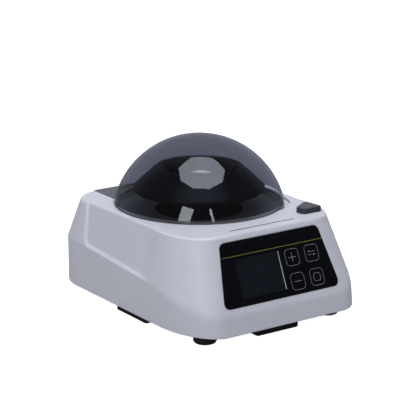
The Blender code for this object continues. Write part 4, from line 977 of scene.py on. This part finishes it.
def rotor_knob():
    low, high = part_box("rotor_nut")
    crown = mm((-2.2, 0.0), (-1.2, -0.35), (-0.4, -1.1), (0.0, -2.2))
    layers = [(low.z, -0.3 * MM), (low.z + 0.3 * MM, 0.0)] + [(high.z + z, growth) for z, growth in crown]
    bore = rod_cutter(BORE_RADIUS, low.z - 4.0 * MM, low.z + 6.0 * MM, AXIS, 48)
    knob = cut_all(layered("rotor_knob", fluted, layers, KEY), [bore])
    return place(flatten_normals(knob), "rotor_assembly", "nut_abs", "rotor_nut")


def chamber():
    wall_top = TOP_Z - 1.4 * MM
    floor_low = BOWL_FLOOR_Z - 2.0 * MM
    well_wall = WELL_RADIUS + 2.0 * MM
    hole = 12.0 * MM
    profile = [(BOWL_WALL_RADIUS, wall_top), (BOWL_WALL_RADIUS, floor_low), (well_wall, floor_low),
               (well_wall, WELL_FLOOR_Z - 2.0 * MM), (hole, WELL_FLOOR_Z - 2.0 * MM), (hole, WELL_FLOOR_Z),
               (WELL_RADIUS, WELL_FLOOR_Z), (WELL_RADIUS, BOWL_FLOOR_Z), (BOWL_INNER_RADIUS, BOWL_FLOOR_Z),
               (BOWL_INNER_RADIUS, wall_top)]
    bowl = flatten_normals(spun("chamber_liner", eased(profile, 1.0 * MM), LINER))
    # Faces below the bowl floor, the well under the rotor, are painted black: painted shade beneath the
    # rotor's overhang.
    paint_where(bowl, BLACK, lambda face: face.center.z < BOWL_FLOOR_Z - 0.8 * MM)
    place(bowl, "base", "bowl_abs", "chamber_bowl")
    low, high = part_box("chamber_gasket")
    inner, outer = 64.2 * MM, 65.9 * MM
    shoulder = high.z - 0.4 * MM
    seal = [(outer, low.z), (inner, low.z), (inner, shoulder), ((inner + outer) / 2.0, high.z),
            (outer, shoulder)]
    gasket = spun("chamber_seal", eased(seal, 0.25 * MM, 3), SEAL)
    place(gasket, "base", "gasket_rubber", "chamber_gasket")


# -------------------- base and rear ports

def boxes_of(prefix):
    """Name, low corner and high corner of each CAD node whose name starts with prefix."""
    return [(node, *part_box(node)) for node in sorted(frame["nodes"]) if node.startswith(prefix)]


def feet():
    for node, low, high in boxes_of("foot_"):
        centre = (low + high) / 2.0
        radius = (high.x - low.x) / 2.0
        shoulder, inside = high.z - 5.7 * MM, high.z - 2.6 * MM
        profile = [(0.0, high.z), (2.0 * MM, high.z), (4.0 * MM, high.z - 1.8 * MM), (4.0 * MM, inside),
                   (2.6 * MM, inside), (2.6 * MM, shoulder)]
        profile += arc((radius - 0.5 * MM, shoulder - 0.5 * MM), 0.5 * MM, 90.0, 0.0, 3)
        profile += arc((radius - 2.4 * MM, 2.4 * MM), 2.4 * MM, 0.0, -90.0, 8)
        profile += mm((4.6, 0.0), (4.2, 0.5), (3.0, 0.8), (0.0, 0.8))
        foot = spun(node + "_rubber", profile, DARK_RUBBER, Vector((centre.x, centre.y, 0.0)), 64)
        place(foot, "base", "foot_rubber", node)


def edge_pads():
    for node, low, high in boxes_of("edge_pad_"):
        size, centre = high - low, (low + high) / 2.0
        pad = layered(node + "_rubber", lambda g: box_outline(*size[:2], centre[:2], 2.2 * MM, g),
                      soft_layers(low.z, high.z, 1.1 * MM, both=True), DARK_RUBBER)
        place(flatten_normals(pad), "base", "pad_rubber", node)


def rear_ports():
    """Power socket, drawn upright with its mouth down and then laid into the rear wall, and the switch."""
    depth, well, pin_end, face = mm(13.0, 10.0, 1.6, 0.2)
    outer, inner, ease = mm(5.4, 3.1, 0.35)
    profile = [(0.0, depth), (outer, depth)]
    profile += arc((outer - ease, face + ease), ease, 0.0, -90.0, 4)
    profile += arc((inner + ease, face + ease), ease, -90.0, -180.0, 4)
    pin = 1.0 * MM
    profile += [(inner, well), (pin, well), (pin, pin_end + ease), (0.6 * MM, pin_end), (0.0, pin_end)]
    socket = laid(spun("power_socket", profile, BLACK, Vector(), 64), (SOCKET_X, REAR_Y, REAR_PORT_Z), "X")
    place(socket, "base", "socket_case", "inlet_socket")
    softened("switch_frame", "base", "switch_case", BLACK, 0.5 * MM, "switch_bezel")
    softened("power_rocker", "rocker", "rocker_abs", BLACK, 0.5 * MM, "switch_rocker")


# -------------------- CAD nodes that stay

# Finish by the start of the node's name.
KEPT = {
    "base_pan": BLACK, "hinge_pin": STEEL, "lid_spring": SPRING, "motor_can": ZINC, "motor_shaft": STEEL,
    "rotor_hub": ALUMINIUM, "control_board": BOARD, "power_board": BOARD, "display_module": BLACK,
    "capacitor": KEY, "case_screw": STEEL, "motor_screw": STEEL, "motor_damper": DARK_RUBBER,
}
SOFTENED = {
    "hinge_bracket": ("base", "bracket_abs", COVER), "lid_sensor": ("base", "sensor_case", BLACK),
    "latch_guide": ("base", "guide_abs", BLACK), "motor_plate": ("base", "plate_steel", ZINC),
    "lid_striker": ("lid", "striker_pom", LATCH), "latch_slider": ("latch", "latch_pom", LATCH),
}


def kept_nodes():
    for node, ob in frame["nodes"].items():
        for start, material in KEPT.items():
            if node.startswith(start):
                ob.data.materials[0] = material
    for node, (body, slot, material) in SOFTENED.items():
        softened(node, body, slot, material, 0.25 * MM, node + "_finished")


def shortening_spring(node):
    """A copy of a CAD spring in spring steel, with its own mesh, standing for the node."""
    ob = copied(node, node + "_coil", SPRING)
    place(ob, "base", "spring_steel", node)
    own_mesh(ob)


# -------------------- stage, light and camera

CAMERA_AZIMUTH = -34.931
CAMERA_ELEVATION = 15.771
CAMERA_DISTANCE = 1.3327
CAMERA_LENS = 146.09
CAMERA_AIM = Vector((5.8 * MM, 6.2 * MM, TOP_Z - 6.7 * MM))


def direction(azimuth, elevation):
    """Unit vector from the object: azimuth 0 is towards the front, positive to the right."""
    a, e = radians(azimuth), radians(elevation)
    return Vector((sin(a) * cos(e), -cos(a) * cos(e), sin(e)))


def aimed(name, data, target, azimuth, elevation, distance, lean=0.0):
    """A camera or lamp that looks at its target from a distance."""
    ob = added(name, data)
    way = direction(azimuth, elevation)
    turn = way.to_track_quat("Z", "Y") @ Quaternion((0.0, 0.0, 1.0), lean)
    return having(ob, location=target + way * distance, rotation_mode="QUATERNION", rotation_quaternion=turn)


def camera():
    data = having(bpy.data.cameras.new("camera"), lens=CAMERA_LENS, sensor_width=36.0, clip_start=0.05,
                  clip_end=60.0)
    bpy.context.scene.camera = aimed("camera", data, CAMERA_AIM, CAMERA_AZIMUTH, CAMERA_ELEVATION,
                                     CAMERA_DISTANCE)


def lamp(name, azimuth, elevation, distance, width, height, radiance, shape="RECTANGLE", lean=0.0):
    """Soft box that faces the dome, as bright as asked whatever its size."""
    area = width * height * (pi / 4.0 if shape == "DISK" else 1.0)
    data = having(bpy.data.lights.new(name, "AREA"), shape=shape, size=width, size_y=height,
                  energy=radiance * area * pi, color=(0.94, 0.965, 1.04))
    return aimed(name, data, DOME_CENTRE, azimuth, elevation, distance, radians(lean))


def fill(name, azimuth, elevation, size, radiance):
    """Broad soft light that glossy surfaces don't mirror."""
    lamp(name, azimuth, elevation, 2.4, size, size, radiance, "DISK").visible_glossy = False


def octagon_box(azimuth, elevation, distance, width, radiance, bar_radiance):
    """Eight-sided soft box whose lamp shows as a brighter bar across its middle."""
    s = Shader("softbox_cloth")
    split = s.add("SeparateXYZ", {"Vector": s.coordinates})
    bar_length, bar_width = 0.62, 0.13
    shares = []
    for axis, half in ((0, bar_length / 2.0), (1, bar_width / 2.0)):
        size = s.add("Math", {0: split.outputs[axis]}, operation="ABSOLUTE")
        shares.append(s.ranged(size.outputs[0], 1.0, 0.0, 0.25 * half, 1.2 * half))
    both = s.add("Math", enumerate(shares), operation="MULTIPLY")
    glow = s.add("Emission", {"Strength": s.ranged(both.outputs[0], radiance, bar_radiance, 0.0, 1.0),
                              "Color": (0.93, 0.965, 1.06)})
    bm = bmesh.new()
    corner = width / 2.0 / cos(pi / 8.0)
    angles = [pi * (2 * i + 1) / 8.0 for i in range(8)]
    bm.faces.new([bm.verts.new((corner * cos(a), corner * sin(a), 0.0)) for a in angles])
    box = finish_mesh("softbox", bm, s.bare(glow))
    way = direction(azimuth, elevation)
    side = Vector((cos(radians(CAMERA_AZIMUTH)), sin(radians(CAMERA_AZIMUTH)), 0.0))
    side = (side - way * side.dot(way)).normalized()
    turn = Matrix((side, way.cross(side), way)).transposed().to_4x4()
    box.matrix_world = Matrix.Translation(DOME_CENTRE + way * distance) @ turn


def lights():
    octagon_box(-17.8, 80.2, 1.8, 1.60, 4.5, 12.0)
    lamp("left_strip", -53.0, 21.0, 2.2, 0.58, 0.80, 6.0, lean=-12.0)
    lamp("front_strip", -17.3, 20.5, 2.2, 0.12, 0.70, 6.5, lean=10.0)
    fill("top_fill", 100.0, 70.0, 1.2, 2.2)
    fill("left_fill", -98.0, 14.0, 1.2, 3.0)
    fill("front_fill", -30.0, 5.0, 1.0, 1.2)


def world():
    """Bright behind the object and dim in front of it, but plain white straight from the camera."""
    made = bpy.data.worlds.new("studio")
    bpy.context.scene.world = made
    n = Nodes(made)
    towards = n.add("VectorMath", {0: n.add("TexCoord").outputs["Generated"], 1: direction(145.0, 14.0)},
                    operation="DOT_PRODUCT")
    glow = n.add("MapRange", {0: towards.outputs["Value"], 1: 0.20, 2: 1.0, 3: 0.10, 4: 0.58},
                 interpolation_type="SMOOTHSTEP")
    around = n.tree.nodes["Background"]
    n.feed(around.inputs["Color"], (0.94, 0.96, 1.0))
    n.feed(around.inputs["Strength"], glow.outputs[0])
    seen = n.add("Background", {"Color": (1.0, 1.0, 1.0)})
    path = n.add("LightPath").outputs["Is Camera Ray"]
    n.surface("World", n.add("MixShader", {"Fac": path, 1: around.outputs[0], 2: seen.outputs[0]}))


def floor():
    """Mid grey, but plain white straight from the camera."""
    s = Shader("studio_floor")
    grain = s.noise(30.0, 2.0)
    seen = s.add("LightPath").outputs["Is Camera Ray"]
    s.made(Base_Color=s.blend(s.ranged(grain, 0.0, 1.0), (0.40, 0.40, 0.405), (0.42, 0.42, 0.425)),
           Roughness=s.ranged(grain, 0.75, 0.85), Emission_Strength=s.ranged(seen, 0.0, 1.0, 0.0, 1.0),
           Emission_Color=(1.0, 1.0, 1.0), Specular_IOR_Level=0.1)
    bm = bmesh.new()
    bmesh.ops.create_circle(bm, cap_ends=True, radius=3.0, segments=96)
    finish_mesh("floor", bm, s.material)


def build():
    for make in (camera, housing_shell, dome_shell, hinge_cover, release_button, control_panel, panel_prints,
                 rotor_body, rotor_knob, chamber, feet, edge_pads, rear_ports, kept_nodes):
        make()
    shortening_spring("button_spring")
    shortening_spring("latch_spring")
    floor()
    lights()
    world()
    bpy.context.scene.view_settings.view_transform = "Standard"


build()
